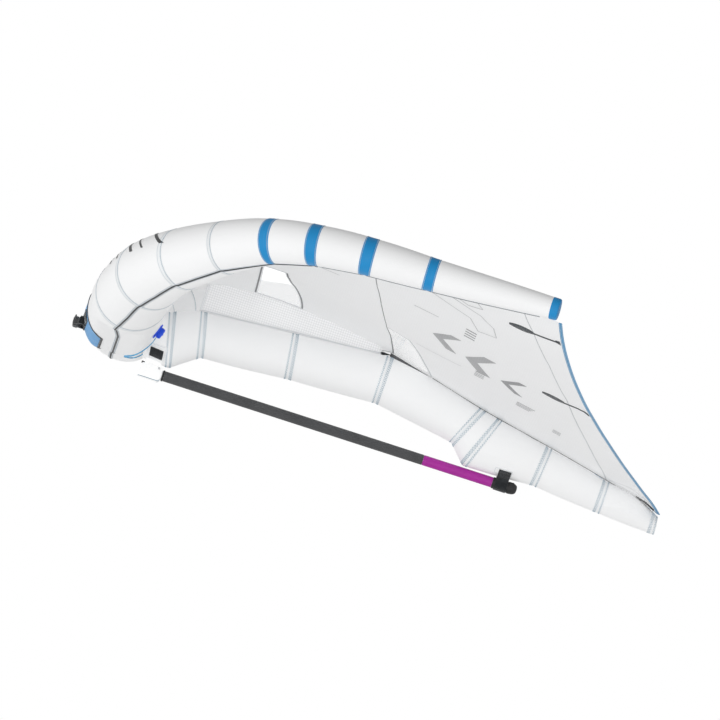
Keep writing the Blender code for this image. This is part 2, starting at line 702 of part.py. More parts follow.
# strap round the end of the boom, both tabs up against the strut's sides
y0, y1 = 1.394, 1.438
side_pts = []
zt = [-.0720, -.0800, -.0860, -.0915]
for z in zt:
    x = max(strut_x(y, z) for y in (y0, y0 + .011, y0 + .022, y1 - .011, y1))
    side_pts.append((x + .0030, z))
r = .0198 + .0006
down = [(side_pts[-1][0] - .004, -.0985), (.0300, -.1120), (.0245, -.1230)]
arc = [(r * math.cos(a), BOOM_Z + r * math.sin(a)) for a in [math.radians(v) for v in (12, -15, -40, -65, -90)]]
prof = side_pts + down + arc
full = prof + [(-x, z) for x, z in prof[:-1][::-1]]
T = .0016
rings = []
n = len(full)
inner, outer = [], []
for i, (x, z) in enumerate(full):
    a, b = full[max(i - 1, 0)], full[min(i + 1, n - 1)]
    d = np.array([b[0] - a[0], b[1] - a[1]])
    d /= np.linalg.norm(d)
    nn = np.array([-d[1], d[0]])
    inner.append((x, z))
    outer.append((x + nn[0] * T, z + nn[1] * T))
for (xi, zi), (xo, zo) in zip(inner, outer):
    rings.append([(xi, y0, zi), (xi, y1, zi), (xo, y1, zo), (xo, y0, zo)])
loft('rear_strap', rings, BLACK, False)

# --------------------------------------------------------------- frame origin
SHIFT = Vector((0, -HOLD_Y, -BOOM_Z))
bpy.context.view_layer.update()
for o in list(COL.objects):
    if o.type == 'MESH':
        o.location = Vector(o.location) + SHIFT

bpy.context.view_layer.update()


def pivot(name, at, members):
    """Moving pieces hang from an empty on their joint axis."""
    e = bpy.data.objects.new(name, None)
    COL.objects.link(e)
    e.location = Vector(at) + SHIFT
    bpy.context.view_layer.update()
    for m in members:
        o = bpy.data.objects[m]
        w = o.matrix_world.copy()
        o.parent = e
        o.matrix_parent_inverse = e.matrix_world.inverted()
        o.matrix_world = w
    return e


pivot('swing_axis', (0, SWING_Y, SWING_Z), ['front_socket', 'boom_tube', 'boom_grip', 'boom_collar'])
pivot('slide_axis', (0, TAIL_Y0, BOOM_Z), ['boom_inner_tube', 'boom_tail', 'boom_end_cap', 'rear_strap'])
pivot('handle_axis', (0, HANDLE_Y, HANDLE_Z), ['nose_handle'])
pivot('valve_axis', tuple(vc), ['valve_cap'])
bpy.context.view_layer.update()
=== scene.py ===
import math

import bmesh
import bpy
import numpy as np
from mathutils import Matrix, Vector
from mathutils.bvhtree import BVHTree


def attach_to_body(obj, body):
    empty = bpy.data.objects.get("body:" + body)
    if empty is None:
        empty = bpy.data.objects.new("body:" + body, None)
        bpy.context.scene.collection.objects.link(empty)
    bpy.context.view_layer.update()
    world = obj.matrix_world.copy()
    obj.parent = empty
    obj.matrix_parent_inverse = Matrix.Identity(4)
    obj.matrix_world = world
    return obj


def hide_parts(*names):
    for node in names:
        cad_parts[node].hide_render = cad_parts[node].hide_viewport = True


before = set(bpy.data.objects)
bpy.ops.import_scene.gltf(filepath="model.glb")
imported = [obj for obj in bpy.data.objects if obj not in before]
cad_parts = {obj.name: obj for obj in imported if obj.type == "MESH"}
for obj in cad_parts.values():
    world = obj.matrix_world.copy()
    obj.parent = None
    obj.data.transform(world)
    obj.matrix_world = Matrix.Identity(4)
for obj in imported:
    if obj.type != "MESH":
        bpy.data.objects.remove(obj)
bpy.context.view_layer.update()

SHIFT = np.array([0.0, -0.640, 0.137])      # leading edge axis -> row frame
scene = bpy.context.scene

# ============================================================ curves of the wing
LE_RINGS = [
    (0, 0, 0, .259), (.709, .015, .046, .257), (.895, .051, .110, .243),
    (1.076, .141, .183, .210), (1.212, .268, .254, .180), (1.342, .419, .314, .151),
    (1.400, .556, .340, .137), (1.435, .732, .355, .127), (1.447, .949, .361, .111),
    (1.502, 1.383, .375, .072), (1.510, 1.440, .3765, .066),
]
STRUT_RINGS = [
    ((.085, .062), (.105, -.098), .095), ((.155, .080), (.2025, -.105), .095),
    ((.190, .098), (.2215, -.0905), .093), ((.258, .116), (.296, -.037), .080),
    ((.400, .1250), (.405, -.0300), .078), ((.583, .1420), (.6046, -.0155), .079),
    ((.750, .1520), (.760, -.0080), .080), ((.918, .1680), (.917, -.0010), .082),
    ((1.090, .1360), (1.060, -.0225), .076), ((1.200, .1090), (1.159, -.0395), .074),
    ((1.280, .0890), (1.210, -.0500), .078), ((1.345, .0755), (1.270, -.1130), .092),
    ((1.420, .0600), (1.390, -.1090), .086), ((1.536, .0355), (1.522, -.1040), .073),
    ((1.7585, -.0130), (1.757, -.1250), .056), ((1.900, -.0440), (1.900, -.1330), .045),
    ((1.965, -.0755), (1.970, -.1365), .031),
]
STRUT_SEAMS = [1, 3, 5, 7, 10, 11, 13, 14]
KEEL = [
    (.0225, .1305), (.07, .149), (.12, .169), (.17, .1875), (.22, .2045), (.30, .2265),
    (.407, .2345), (.50, .2345), (.578, .230), (.70, .2185), (.80, .2035), (.915, .183),
    (1.09, .139), (1.267, .094), (1.5, .046), (1.7, .004), (1.85, -.029), (1.92, -.046),
    (1.9595, -.066),
]
TE_Z = [
    (0, -.0660), (.1, -.0442), (.2, -.0284), (.3, -.0117), (.4, .0055), (.5, .0232),
    (.6, .0426), (.7, .0628), (.8, .0836), (.9, .1066), (1.0, .1302), (1.1, .1584),
    (1.2, .1905), (1.3, .2288), (1.4, .2756), (1.45, .3054), (1.49, .3346),
]
TE_Y0, TE_SLOPE, TE_TAPE = 1.9595, -.37517, .0120
SPAN = [
    (.0003, .0003), (.02, .02), (.12, .12), (.24, .24), (.32, .32), (.40, .40), (.50, .50),
    (.60, .60), (.7106, .70), (.81, .78), (.9106, .85), (1.02, .92), (1.1255, .98),
    (1.225, 1.035), (1.3247, 1.09), (1.43, 1.15), (1.5328, 1.205), (1.608, 1.245),
    (1.6838, 1.285), (1.774, 1.325), (1.8639, 1.36), (1.97, 1.395), (2.0813, 1.425),
    (2.15, 1.439), (2.22, 1.452), (2.29, 1.463), (2.36, 1.474), (2.42, 1.482), (2.478, 1.489),
]
CHORD = [None, .09, .16, .22, .30, 'w1f', 'w1m', 'w1r', .70, .80, 'w2f', 'w2r', 1.18,
         1.267, 1.4, 1.5, 1.6, 1.73, 1.85, 1.92, None]
ATTACH = [(0, 80), (.7, 80), (1.3, 72), (1.86, 62), (2.1, 46), (2.22, 30), (2.36, -4), (2.5, -54)]
BATTENS = {
    'outer': ((1.318, 1.248), (1.350, 1.335), (1.395, 1.430)),
    'inner': ((.862, 1.434), (.879, 1.516), (.922, 1.607)),
}
FLATTER = [(0, 1), (.5, 1), (.9, .88), (1.2, .70), (1.6, .50)]   # camber share against half span
RING_A, RING_B, RING_C, RING_D = .7106, .9106, 1.1255, 1.3247
BANDS = [(1.5280, .029), (1.6810, .037), (1.8639, .041), (2.0813, .039)]
TIP_S, TIP_END = 2.4985, 2.5370
BOOM_Z, BOOM_D = -0.137, 0.036
SIDES = ((1, 'right'), (-1, 'left'))


def second(t, y):
    n = len(t)
    h = np.diff(t)
    a = np.zeros((n, n))
    b = np.zeros((n, y.shape[1]))
    a[0, 0] = a[-1, -1] = 1
    for i in range(1, n - 1):
        a[i, i - 1], a[i, i], a[i, i + 1] = h[i - 1], 2 * (h[i - 1] + h[i]), h[i]
        b[i] = 6 * ((y[i + 1] - y[i]) / h[i] - (y[i] - y[i - 1]) / h[i - 1])
    return np.linalg.solve(a, b)


class Spline:
    """Natural cubic spline through rows of values."""

    def __init__(self, t, y):
        self.t, self.y = np.asarray(t, float), np.asarray(y, float)
        if self.y.ndim == 1:
            self.y = self.y[:, None]
        self.m = second(self.t, self.y)

    def __call__(self, x):
        t, y, m = self.t, self.y, self.m
        i = int(min(max(np.searchsorted(t, x) - 1, 0), len(t) - 2))
        h = t[i + 1] - t[i]
        a, c = (t[i + 1] - x) / h, (x - t[i]) / h
        return a * y[i] + c * y[i + 1] + ((a**3 - a) * m[i] + (c**3 - c) * m[i + 1]) * h * h / 6


_pts = np.array([(-x, y, z, d) for x, y, z, d in LE_RINGS[:0:-1]] + [tuple(map(float, p)) for p in LE_RINGS])
_len = np.concatenate([[0], np.cumsum(np.linalg.norm(np.diff(_pts[:, :3], axis=0), axis=1))])
_len -= _len[len(LE_RINGS) - 1]
_axis = Spline(_len, _pts[:, :3])
KINK = .32                                   # how straight a tube segment is between its seams


def centre(s):
    p = _axis(s)
    q = np.array([np.interp(s, _len, _pts[:, k]) for k in range(3)])
    u = min(max((abs(s) - .36) / (RING_A - .36), 0.0), 1.0)
    k = .92 - (.92 - KINK) * u * u * (3 - 2 * u)
    return p * (1 - k) + q * k


LE_SEAMS = [RING_A, RING_B, RING_C, RING_D, 1.5328, 1.6838, 1.8639, 2.0813]


def radius(s, shaped=True):
    a = abs(s)
    k = len(LE_RINGS) - 1
    r = float(np.interp(a, _len[k:], _pts[k:, 3])) / 2
    if not shaped:
        return r
    for lo, hi in zip([-RING_A] + LE_SEAMS, LE_SEAMS + [TIP_S]):
        if lo <= a <= hi:
            u = (a - lo) / (hi - lo)
            r += min(.0016, .008 * (hi - lo)) * math.sin(math.pi * min(max(u, 0), 1)) ** .7
    d = min(abs(a - q) for q in LE_SEAMS)
    return r - .0011 * math.exp(-(d / .007) ** 2)


def tube_frame(s):
    t = centre(s + .010) - centre(s - .010)
    t /= np.linalg.norm(t)
    up = np.array([0, 0, 1.0]) - t * t[2]
    up /= np.linalg.norm(up)
    return centre(s), t, up, np.cross(up, t)


_cache = {}


def on_tube(s, deg, off=0.0):
    key = round(s, 6)
    if key not in _cache:
        _cache[key] = (*tube_frame(s), radius(s))
    c, _, up, rear, r = _cache[key]
    a = math.radians(deg)
    p = c + (r + off) * (math.cos(a) * rear + math.sin(a) * up)
    if abs(s) < .74:
        # the middle of the tube is cut flat underneath, where the strut's fairing takes over
        w = min(max((abs(s) - .59) / .15, 0.0), 1.0)
        lo = -.1130 + .0745 * abs(float(p[0])) - off - .050 * w * w * (3 - 2 * w)
        k = .0045
        d = (p[2] - lo) / k
        if d < 12:
            p[2] = lo + k * math.log1p(math.exp(d))
    return p


def table(rows, x):
    return float(np.interp(x, [r[0] for r in rows], [r[1] for r in rows]))


# ------------------------------------------------------------------ strut surface
_rt = np.array([(r[0][0], r[0][1], r[1][0], r[1][1], r[2]) for r in STRUT_RINGS])
_mid = np.stack([(_rt[:, 0] + _rt[:, 2]) / 2, (_rt[:, 1] + _rt[:, 3]) / 2], 1)
_sl = np.concatenate([[0], np.cumsum(np.linalg.norm(np.diff(_mid, axis=0), axis=1))])
_breaks = [0] + STRUT_SEAMS + [len(STRUT_RINGS) - 1]
_parts = []
for _a, _b in zip(_breaks, _breaks[1:]):
    _parts.append((_sl[_a], _sl[_b], Spline(_sl[_a:_b + 1], _rt[_a:_b + 1]) if _b - _a > 1 else None, _a, _b))


def strut_row(l):
    """Top y z, bottom y z and half width of the strut at length l along its middle line."""
    for lo, hi, sp, a, b in _parts:
        if l <= hi or b == _breaks[-1]:
            if sp is not None:
                row = np.array(sp(l))
            else:
                u = (l - lo) / (hi - lo)
                row = _rt[a] * (1 - u) + _rt[b] * u
            u = min(max((l - lo) / (hi - lo), 0), 1)
            swell = min(.0022, .010 * (hi - lo)) * math.sin(math.pi * u) ** .8
            break
    d = min(abs(l - _sl[k]) for k in STRUT_SEAMS)
    return row, swell - .0012 * math.exp(-(d / .008) ** 2)


def on_strut(l, a, off=0.0):
    """a is 0 at the top and goes round to the right side, in degrees."""
    row, sw = strut_row(l)
    t, b, w = row[0:2], row[2:4], row[4]
    mid, ax = (t + b) / 2, (t - b) / 2
    L = np.linalg.norm(ax)
    g = sw + off
    q = math.radians(a)
    v = mid + ax * math.cos(q) * (L + g) / L
    return np.array([math.sin(q) * (w + g), v[0], v[1]])


def strut_top(y):
    return table([r[0] for r in STRUT_RINGS], y)


# ----------------------------------------------------------------- canopy surface
_keel = Spline([k[0] for k in KEEL], [k[1] for k in KEEL])
_tez = Spline([k[0] for k in TE_Z], [k[1] for k in TE_Z])


def te_point(x):
    return np.array([x, TE_Y0 + TE_SLOPE * x, float(_tez(x)[0])])


def attach(s):
    return on_tube(s, table(ATTACH, s), .0016 + .014 * max(0.0, s - 1.9))


def keel_z(y):
    lin = table(KEEL, y)
    return .35 * lin + .65 * float(_keel(y)[0]) if .05 < y < 1.90 else lin


def camber(t):
    (y0, z0), (y1, z1) = KEEL[0], KEEL[-1]
    return keel_z(y0 + (y1 - y0) * t) - (z0 + (z1 - z0) * t)


_span = np.array(SPAN)


def span_at(q):
    k = min(int(q), len(SPAN) - 2)
    u = q - k
    return tuple(_span[k] * (1 - u) + _span[k + 1] * u)


def chord_fractions(q):
    s, xt = span_at(min(q, 9.0))
    x = min(xt, .78)
    w = {'w1f': .407 - .006 * x, 'w1r': .578 - .086 * (x / .73) ** 1.5,
         'w2f': .921 - .061 * (min(x, .67) / .67) ** 1.3, 'w2r': 1.078 - .201 * min(x, .64)}
    w['w1m'] = (w['w1f'] + w['w1r']) / 2
    f, r = attach(s), te_point(xt)
    out = []
    for v in CHORD[1:-1]:
        y = w[v] if isinstance(v, str) else v
        if y > 1.1:
            y = w['w2r'] + (r[1] - w['w2r']) * (y - 1.07) / (TE_Y0 - 1.07)
        out.append(float((y - f[1]) / (r[1] - f[1])))
    return [0.0] + out + [1.0]


_f0, _r0 = attach(SPAN[0][0]), te_point(SPAN[0][1])
_c0 = np.linalg.norm((_r0 - _f0)[:2])


def canopy_point(q, t):
    s, x = span_at(q)
    f, r = attach(s), te_point(x)
    c = np.linalg.norm((r - f)[:2]) / _c0
    p = f + (r - f) * t
    p[2] += camber(t) * c**.9 * table(FLATTER, x) + .001
    # the cloth's own relief: soft billows between the seams, small gathers at the tube
    k = min(1.0, x / .25)
    body = math.sin(math.pi * min(max(t, 0), 1))
    p[2] += k * body * (.0020 * math.sin(5.1 * x + 3.0 * t) + .0012 * math.sin(13 * x - 7 * t + 1.0))
    p[2] += k * .0011 * math.exp(-t / .05) * math.sin(62 * s) * min(1, t / .01)
    p[2] += k * .0010 * math.exp(-(1 - t) / .05) * math.sin(55 * x) * min(1, (1 - t) / .008)
    return p


# ================================================================== node helpers
class Mat:
    """A material with small helpers for its node graph."""

    def __init__(self, name, rough=.5, metal=0.0, **sockets):
        self.m = bpy.data.materials.new(name)
        self.m.use_nodes = True
        self.nt = self.m.node_tree
        self.b = self.nt.nodes['Principled BSDF']
        self.b.inputs['Roughness'].default_value = rough
        self.b.inputs['Metallic'].default_value = metal
        for k, v in sockets.items():
            self.b.inputs[k.replace('_', ' ')].default_value = v
        self._uv = self._obj = None

    def new(self, kind, **props):
        n = self.nt.nodes.new(kind)
        for k, v in props.items():
            setattr(n, k, v)
        return n

    def link(self, a, b):
        self.nt.links.new(a, b)

    def obj(self):
        if self._obj is None:
            self._obj = self.new('ShaderNodeTexCoord').outputs['Object']
        return self._obj

    def uv(self):
        if self._uv is None:
            n = self.new('ShaderNodeUVMap', uv_map='pattern')
            s = self.new('ShaderNodeSeparateXYZ')
            self.link(n.outputs['UV'], s.inputs[0])
            self._uv = (s.outputs['X'], s.outputs['Y'])
        return self._uv

    def noise(self, scale, detail=3.0, rough=.5, stretch=None):
        n = self.new('ShaderNodeTexNoise')
        n.inputs['Scale'].default_value = scale
        n.inputs['Detail'].default_value = detail
        n.inputs['Roughness'].default_value = rough
        src = self.obj()
        if stretch is not None:
            mp = self.new('ShaderNodeMapping')
            mp.inputs['Scale'].default_value = stretch
            self.link(src, mp.inputs['Vector'])
            src = mp.outputs['Vector']
        self.link(src, n.inputs['Vector'])
        return n.outputs['Fac']

    def math(self, op, a, b=None, c=None, clamp=False):
        n = self.new('ShaderNodeMath', operation=op)
        n.use_clamp = clamp
        for i, v in enumerate((a, b, c)):
            if v is None:
                continue
            if isinstance(v, (int, float)):
                n.inputs[i].default_value = v
            else:
                self.link(v, n.inputs[i])
        return n.outputs[0]

    def lines(self, u, pitch, width, soft=.35):
        """1 on thin lines every pitch along u, 0 between."""
        w = self.math('PINGPONG', u, pitch / 2)
        a = self.math('SUBTRACT', width / 2, w)
        return self.math('MULTIPLY_ADD', a, 1 / (width * soft), .5, clamp=True)

    def band(self, u, lo, hi, soft):
        a = self.math('MULTIPLY_ADD', self.math('SUBTRACT', u, lo), 1 / soft, .5, clamp=True)
        b = self.math('MULTIPLY_ADD', self.math('SUBTRACT', hi, u), 1 / soft, .5, clamp=True)
        return self.math('MULTIPLY', a, b)

    def wave(self, u, pitch):
        return self.math('SINE', self.math('MULTIPLY', u, 2 * math.pi / pitch))

    def mix(self, fac, a, b):
        n = self.new('ShaderNodeMix', data_type='RGBA')
        if isinstance(fac, (int, float)):
            n.inputs['Factor'].default_value = fac
        else:
            self.link(fac, n.inputs['Factor'])
        for key, v in (('A', a), ('B', b)):
            sock = [s for s in n.inputs if s.name == key and s.type == 'RGBA'][0]
            if isinstance(v, tuple):
                sock.default_value = (*v, 1)
            else:
                self.link(v, sock)
        return [s for s in n.outputs if s.type == 'RGBA'][0]

    def ramp(self, fac, stops):
        n = self.new('ShaderNodeValToRGB')
        els = n.color_ramp.elements
        while len(els) < len(stops):
            els.new(.5)
        for e, (p, c) in zip(els, stops):
            e.position = p
            e.color = (*c, 1) if isinstance(c, tuple) else (c, c, c, 1)
        self.link(fac, n.inputs['Fac'])
        return n.outputs['Color']

    def span(self, fac, lo, hi, a=.35, b=.65):
        """Maps a noise value to lo..hi."""
        n = self.new('ShaderNodeMapRange')
        n.inputs['From Min'].default_value = a
        n.inputs['From Max'].default_value = b
        n.inputs['To Min'].default_value = lo
        n.inputs['To Max'].default_value = hi
        self.link(fac, n.inputs['Value'])
        return n.outputs['Result']

    def color(self, sock):
        self.link(sock, self.b.inputs['Base Color'])

    def rough(self, sock):
        self.link(sock, self.b.inputs['Roughness'])

    def bump(self, height, distance, strength=1.0, before=None):
        n = self.new('ShaderNodeBump')
        n.inputs['Strength'].default_value = strength
        n.inputs['Distance'].default_value = distance
        self.link(height, n.inputs['Height'])
        if before is not None:
            self.link(before, n.inputs['Normal'])
        return n.outputs['Normal']

    def normal(self, sock):
        self.link(sock, self.b.inputs['Normal'])


def tint(c, k):
    return tuple(min(1.0, max(0.0, v * k)) for v in c)


def cloth(name, rgb, rough=.55, weave=.0011, rip=0.0, rip_dark=.93, mottle=.02, creases=.0006,
          sheen=.15, crease_scale=7.0, rip_w=.0009):
    """Woven cloth: fine weave and optional ripstop lines in pattern coordinates, soft creases."""
    m = Mat(name, rough, Sheen_Weight=sheen, Sheen_Roughness=.5, Specular_IOR_Level=.35)
    u, v = m.uv()
    big = m.noise(2.3, 3.0)
    col = m.mix(m.span(big, 0, 1, .3, .7), tint(rgb, 1 - mottle), tint(rgb, 1 + mottle))
    fine = m.noise(260, 2.0)
    col = m.mix(m.span(fine, 0, .35, .35, .75), col, tint(rgb, .94))
    w = m.math('MULTIPLY', m.wave(u, weave), m.wave(v, weave))
    height = m.math('MULTIPLY', w, .10)
    if rip:
        lines = m.math('MAXIMUM', m.lines(u, rip, rip_w), m.lines(v, rip, rip_w))
        col = m.mix(lines, col, tint(rgb, rip_dark))
        height = m.math('ADD', height, m.math('MULTIPLY', lines, .25))
    m.color(col)
    m.rough(m.span(m.noise(40, 2.0), rough - .05, rough + .07))
    n = m.bump(height, .0006, .35)
    n = m.bump(m.noise(crease_scale, 4.0, .55, (1, .45, 1)), creases * 10, .35, n)
    m.normal(n)
    return m.m


def stitched(name, rgb, thread, rows, pitch, rough=.6, weave=.0012, thread_w=.0011, edge=None, zig=0.0):
    """A sewn tape: cloth with dashed thread rows at the given v positions."""
    m = Mat(name, rough, Sheen_Weight=.15, Specular_IOR_Level=.35)
    u, v = m.uv()
    big = m.noise(9, 2.0)
    col = m.mix(m.span(big, 0, 1), tint(rgb, .95), tint(rgb, 1.04))
    w = m.math('MULTIPLY', m.wave(u, weave), m.wave(v, weave))
    height = m.math('MULTIPLY', w, .12)
    for r in rows:
        vv = v
        if zig:
            z = m.math('PINGPONG', u, pitch)
            z = m.math('MULTIPLY', m.math('SUBTRACT', z, pitch / 2), zig / pitch)
            vv = m.math('SUBTRACT', v, z)
        row = m.band(vv, r - thread_w / 2, r + thread_w / 2, thread_w * .5)
        if not zig:
            dash = m.math('MULTIPLY_ADD', m.math('SUBTRACT', m.math('PINGPONG', u, pitch / 2), pitch * .10),
                          1 / (pitch * .06), .5, clamp=True)
            row = m.math('MULTIPLY', row, dash)
        col = m.mix(row, col, thread)
        height = m.math('ADD', height, row)
    m.color(col)
    m.rough(m.span(m.noise(60, 2.0), rough - .05, rough + .08))
    m.normal(m.bump(height, .0005, .6))
    return m.m


def webbing(name, rgb, pitch=.0022, rough=.82):
    """Heavy woven strap: chevron ribs along its length, with painted light and shade on them."""
    m = Mat(name, rough, Sheen_Weight=.35, Sheen_Roughness=.45, Specular_IOR_Level=.3)
    u, v = m.uv()
    z = m.math('PINGPONG', v, pitch * 1.6)
    diag = m.math('ADD', u, m.math('MULTIPLY', z, .9))
    ribs = m.wave(diag, pitch)
    # painted light and shade: colour follows rib height, crests lighter and troughs darker
    col = m.mix(m.math('MULTIPLY_ADD', ribs, .5, .5, clamp=True), tint(rgb, .55), tint(rgb, 1.7))
    col = m.mix(m.span(m.noise(90, 3.0), 0, .5), col, tint(rgb, 2.4))
    m.color(col)
    m.rough(m.span(m.noise(35, 2.0), rough - .06, rough + .08))
    m.normal(m.bump(ribs, .0005, .6))
    return m.m


def moulded(name, rgb, rough=.42, grain=.00012, mottle=.03, scale=900, coat=0.0):
    m = Mat(name, rough, Specular_IOR_Level=.5, Coat_Weight=coat)
    col = m.mix(m.span(m.noise(14, 3.0), 0, 1), tint(rgb, 1 - mottle), tint(rgb, 1 + mottle))
    col = m.mix(m.span(m.noise(scale * .6, 2.0), 0, .3), col, tint(rgb, .8))
    m.color(col)
    m.rough(m.span(m.noise(70, 3.0), rough - .06, rough + .08))
    m.normal(m.bump(m.noise(scale, 2.0), grain, .6))
    return m.m


def metal(name, rgb, rough=.32):
    m = Mat(name, rough, 1.0)
    m.color(m.mix(m.span(m.noise(8, 3.0), 0, 1), tint(rgb, .93), tint(rgb, 1.05)))
    m.rough(m.span(m.noise(300, 3.0, .6, (1, .03, 1)), rough - .08, rough + .10))
    m.normal(m.bump(m.noise(600, 2.0, .5, (1, .02, 1)), .0001, .4))
    return m.m


# ------------------------------------------------------------------- materials
M_SLEEVE = cloth('sleeve_white', (.900, .905, .910), .52, .0010, rip=.0060, rip_dark=.975, mottle=.012, creases=.0004)
M_STRUT = cloth('strut_white', (.890, .895, .900), .52, .0010, rip=.0060, rip_dark=.975, mottle=.012, creases=.0005)
M_CANOPY = cloth('canopy_white', (.800, .805, .812), .50, .0009, rip=.0085, rip_dark=.955, mottle=.015, creases=.0008,
                 crease_scale=4.0, rip_w=.0013)
M_WEB = cloth('web_scrim', (.870, .875, .882), .50, .0009, rip=.0082, rip_dark=.80, mottle=.012, creases=.0004, rip_w=.0021)
M_BAND = cloth('band_blue', (.004, .272, .630), .45, .0010, rip=.0060, rip_dark=.92, mottle=.03, creases=.0003)
M_NOSE = cloth('nose_blue', (.062, .350, .735), .50, .0014, rip=.0050, rip_dark=.90, mottle=.03, creases=.0003)
M_TAPE_EDGE = stitched('te_tape_blue', (.070, .285, .520), (.62, .70, .78), [-.0030, .0030], .0042)
M_SEAM = stitched('seam_tape', (.820, .850, .870), (.300, .360, .410), [], .004)
M_RINGTAPE = stitched('ring_tape', (.820, .845, .862), (.520, .570, .610), [-.0052, .0052], .0044, thread_w=.0012)
M_KEELTAPE = stitched('keel_tape_grey', (.740, .762, .785), (.420, .470, .510), [-.0066, .0066], .0044)
M_PANEL = stitched('panel_seam_grey', (.150, .155, .165), (.40, .42, .44), [], .0044)
M_PANEL_LT = stitched('panel_seam_light', (.560, .575, .590), (.32, .35, .38), [-.0015, .0015], .0044, thread_w=.0008)
M_FRAME = stitched('window_frame', (.760, .770, .780), (.45, .48, .52), [-.0028, .0028], .0044, thread_w=.0009)
M_THREAD = stitched('thread_grey', (.300, .400, .470), (.2, .2, .2), [], .002)
M_THREAD_LT = stitched('thread_light', (.60, .66, .70), (.2, .2, .2), [], .002)
M_WEBBING = webbing('webbing_black', (.0105, .0125, .0145))
M_PIPING = webbing('piping_black', (.012, .016, .019), .0016, .7)
M_PIPING_BLUE = webbing('piping_blue', (.060, .300, .620), .0016, .6)
M_PATCH = stitched('patch_white', (.890, .895, .900), (.40, .43, .46), [], .004, weave=.0016)
M_BATTEN = webbing('batten_grey', (.040, .046, .052), .0018, .75)
M_GAP_SHEET_DARK = cloth('gap_sheet_dark', (.130, .130, .136), .60, .0009, rip=.0085, rip_dark=.85, mottle=.05, creases=.0004, crease_scale=4.0, rip_w=.0013)
M_PRINT = cloth('print_dark', (.425, .430, .440), .48, .0009, rip=.0085, rip_dark=.85, mottle=.05, creases=.0004, crease_scale=4.0, rip_w=.0013)
M_PRINT_MID = cloth('print_mid', (.300, .305, .315), .48, .0009, rip=.0085, rip_dark=.9, mottle=.04, creases=.0004, crease_scale=4.0, rip_w=.0013)
M_PRINT_LT = cloth('print_light', (.520, .525, .535), .48, .0009, rip=.0085, rip_dark=.93, mottle=.03, creases=.0004, crease_scale=4.0, rip_w=.0013)
M_PRINT_BLACK = cloth('print_black', (.030, .032, .035), .48, .0010, rip=.006, rip_dark=.8, mottle=.05, creases=.0003)
M_FITW = moulded('fitting_white', (.900, .900, .895), .38, .00010)
M_FITB = moulded('fitting_black', (.0125, .0130, .0140), .42, .00015)
M_VALVE = moulded('valve_blue', (.006, .085, .780), .38, .00010)
M_PURPLE = moulded('tail_purple', (.410, .006, .330), .46, .00006, .05, coat=.06)
M_ALLOY = metal('tube_alloy', (.55, .56, .58))
M_STEEL = metal('screw_steel', (.62, .63, .64), .26)


def grip_material():
    """Moulded foam grip: fine diamond texture with painted shade in its grooves, and scuffs."""
    m = Mat('grip_grey', .78, Specular_IOR_Level=.35, Sheen_Weight=.12)
    u, v = m.uv()
    a = m.lines(m.math('ADD', u, v), .0042, .0010, .5)
    b = m.lines(m.math('SUBTRACT', u, v), .0042, .0010, .5)
    net = m.math('MAXIMUM', a, b)
    base = (.072, .073, .076)
    col = m.mix(m.span(m.noise(9, 4.0), 0, 1), tint(base, .88), tint(base, 1.18))
    # painted shade: the diamond grooves, recessed by the bump below, are coloured darker
    col = m.mix(m.math('MULTIPLY', net, .55), col, tint(base, .55))
    col = m.mix(m.span(m.noise(420, 2.0), 0, .35), col, tint(base, 1.7))
    m.color(col)
    m.rough(m.span(m.noise(30, 3.0), .70, .86))
    n = m.bump(net, .0004, -.5)
    m.normal(m.bump(m.noise(900, 2.0), .0003, .5, n))
    return m.m


# painted glow: a constant white emission on these materials lightens them beyond what the studio light gives; it stands
# in for light that comes through the thin white cloth and the moulded nylon, and for light in shaded parts
for _m, _e in ((M_CANOPY, .12), (M_WEB, .14), (M_STRUT, .11), (M_SLEEVE, .075), (M_FITW, .26), (M_PATCH, .08), (M_SEAM, .10),
               (M_RINGTAPE, .04), (M_FRAME, .12), (M_PANEL_LT, .06), (M_PRINT_LT, .06), (M_THREAD, .03)):
    _b = _m.node_tree.nodes['Principled BSDF']
    _b.inputs['Emission Color'].default_value = (1, 1, 1, 1)
    _b.inputs['Emission Strength'].default_value = _e

M_GRIP = grip_material()


def film_material():
    """Clear window film with faint haze and creases, and a painted glow: its white emission lightens what is seen
    through it.
    """
    m = Mat('window_film', .10, Specular_IOR_Level=.5, IOR=1.5)
    m.b.inputs['Alpha'].default_value = .24
    # painted glow: white emission that brightens the film and what shows through it
    m.b.inputs['Emission Color'].default_value = (1, 1, 1, 1)
    m.b.inputs['Emission Strength'].default_value = .66
    m.color(m.mix(m.span(m.noise(6, 3.0), 0, 1), (.90, .92, .93), (.97, .98, .985)))
    m.rough(m.span(m.noise(12, 4.0), .06, .20))
    m.normal(m.bump(m.noise(9, 3.0, .5, (1, .4, 1)), .004, .35))
    return m.m


M_FILM = film_material()


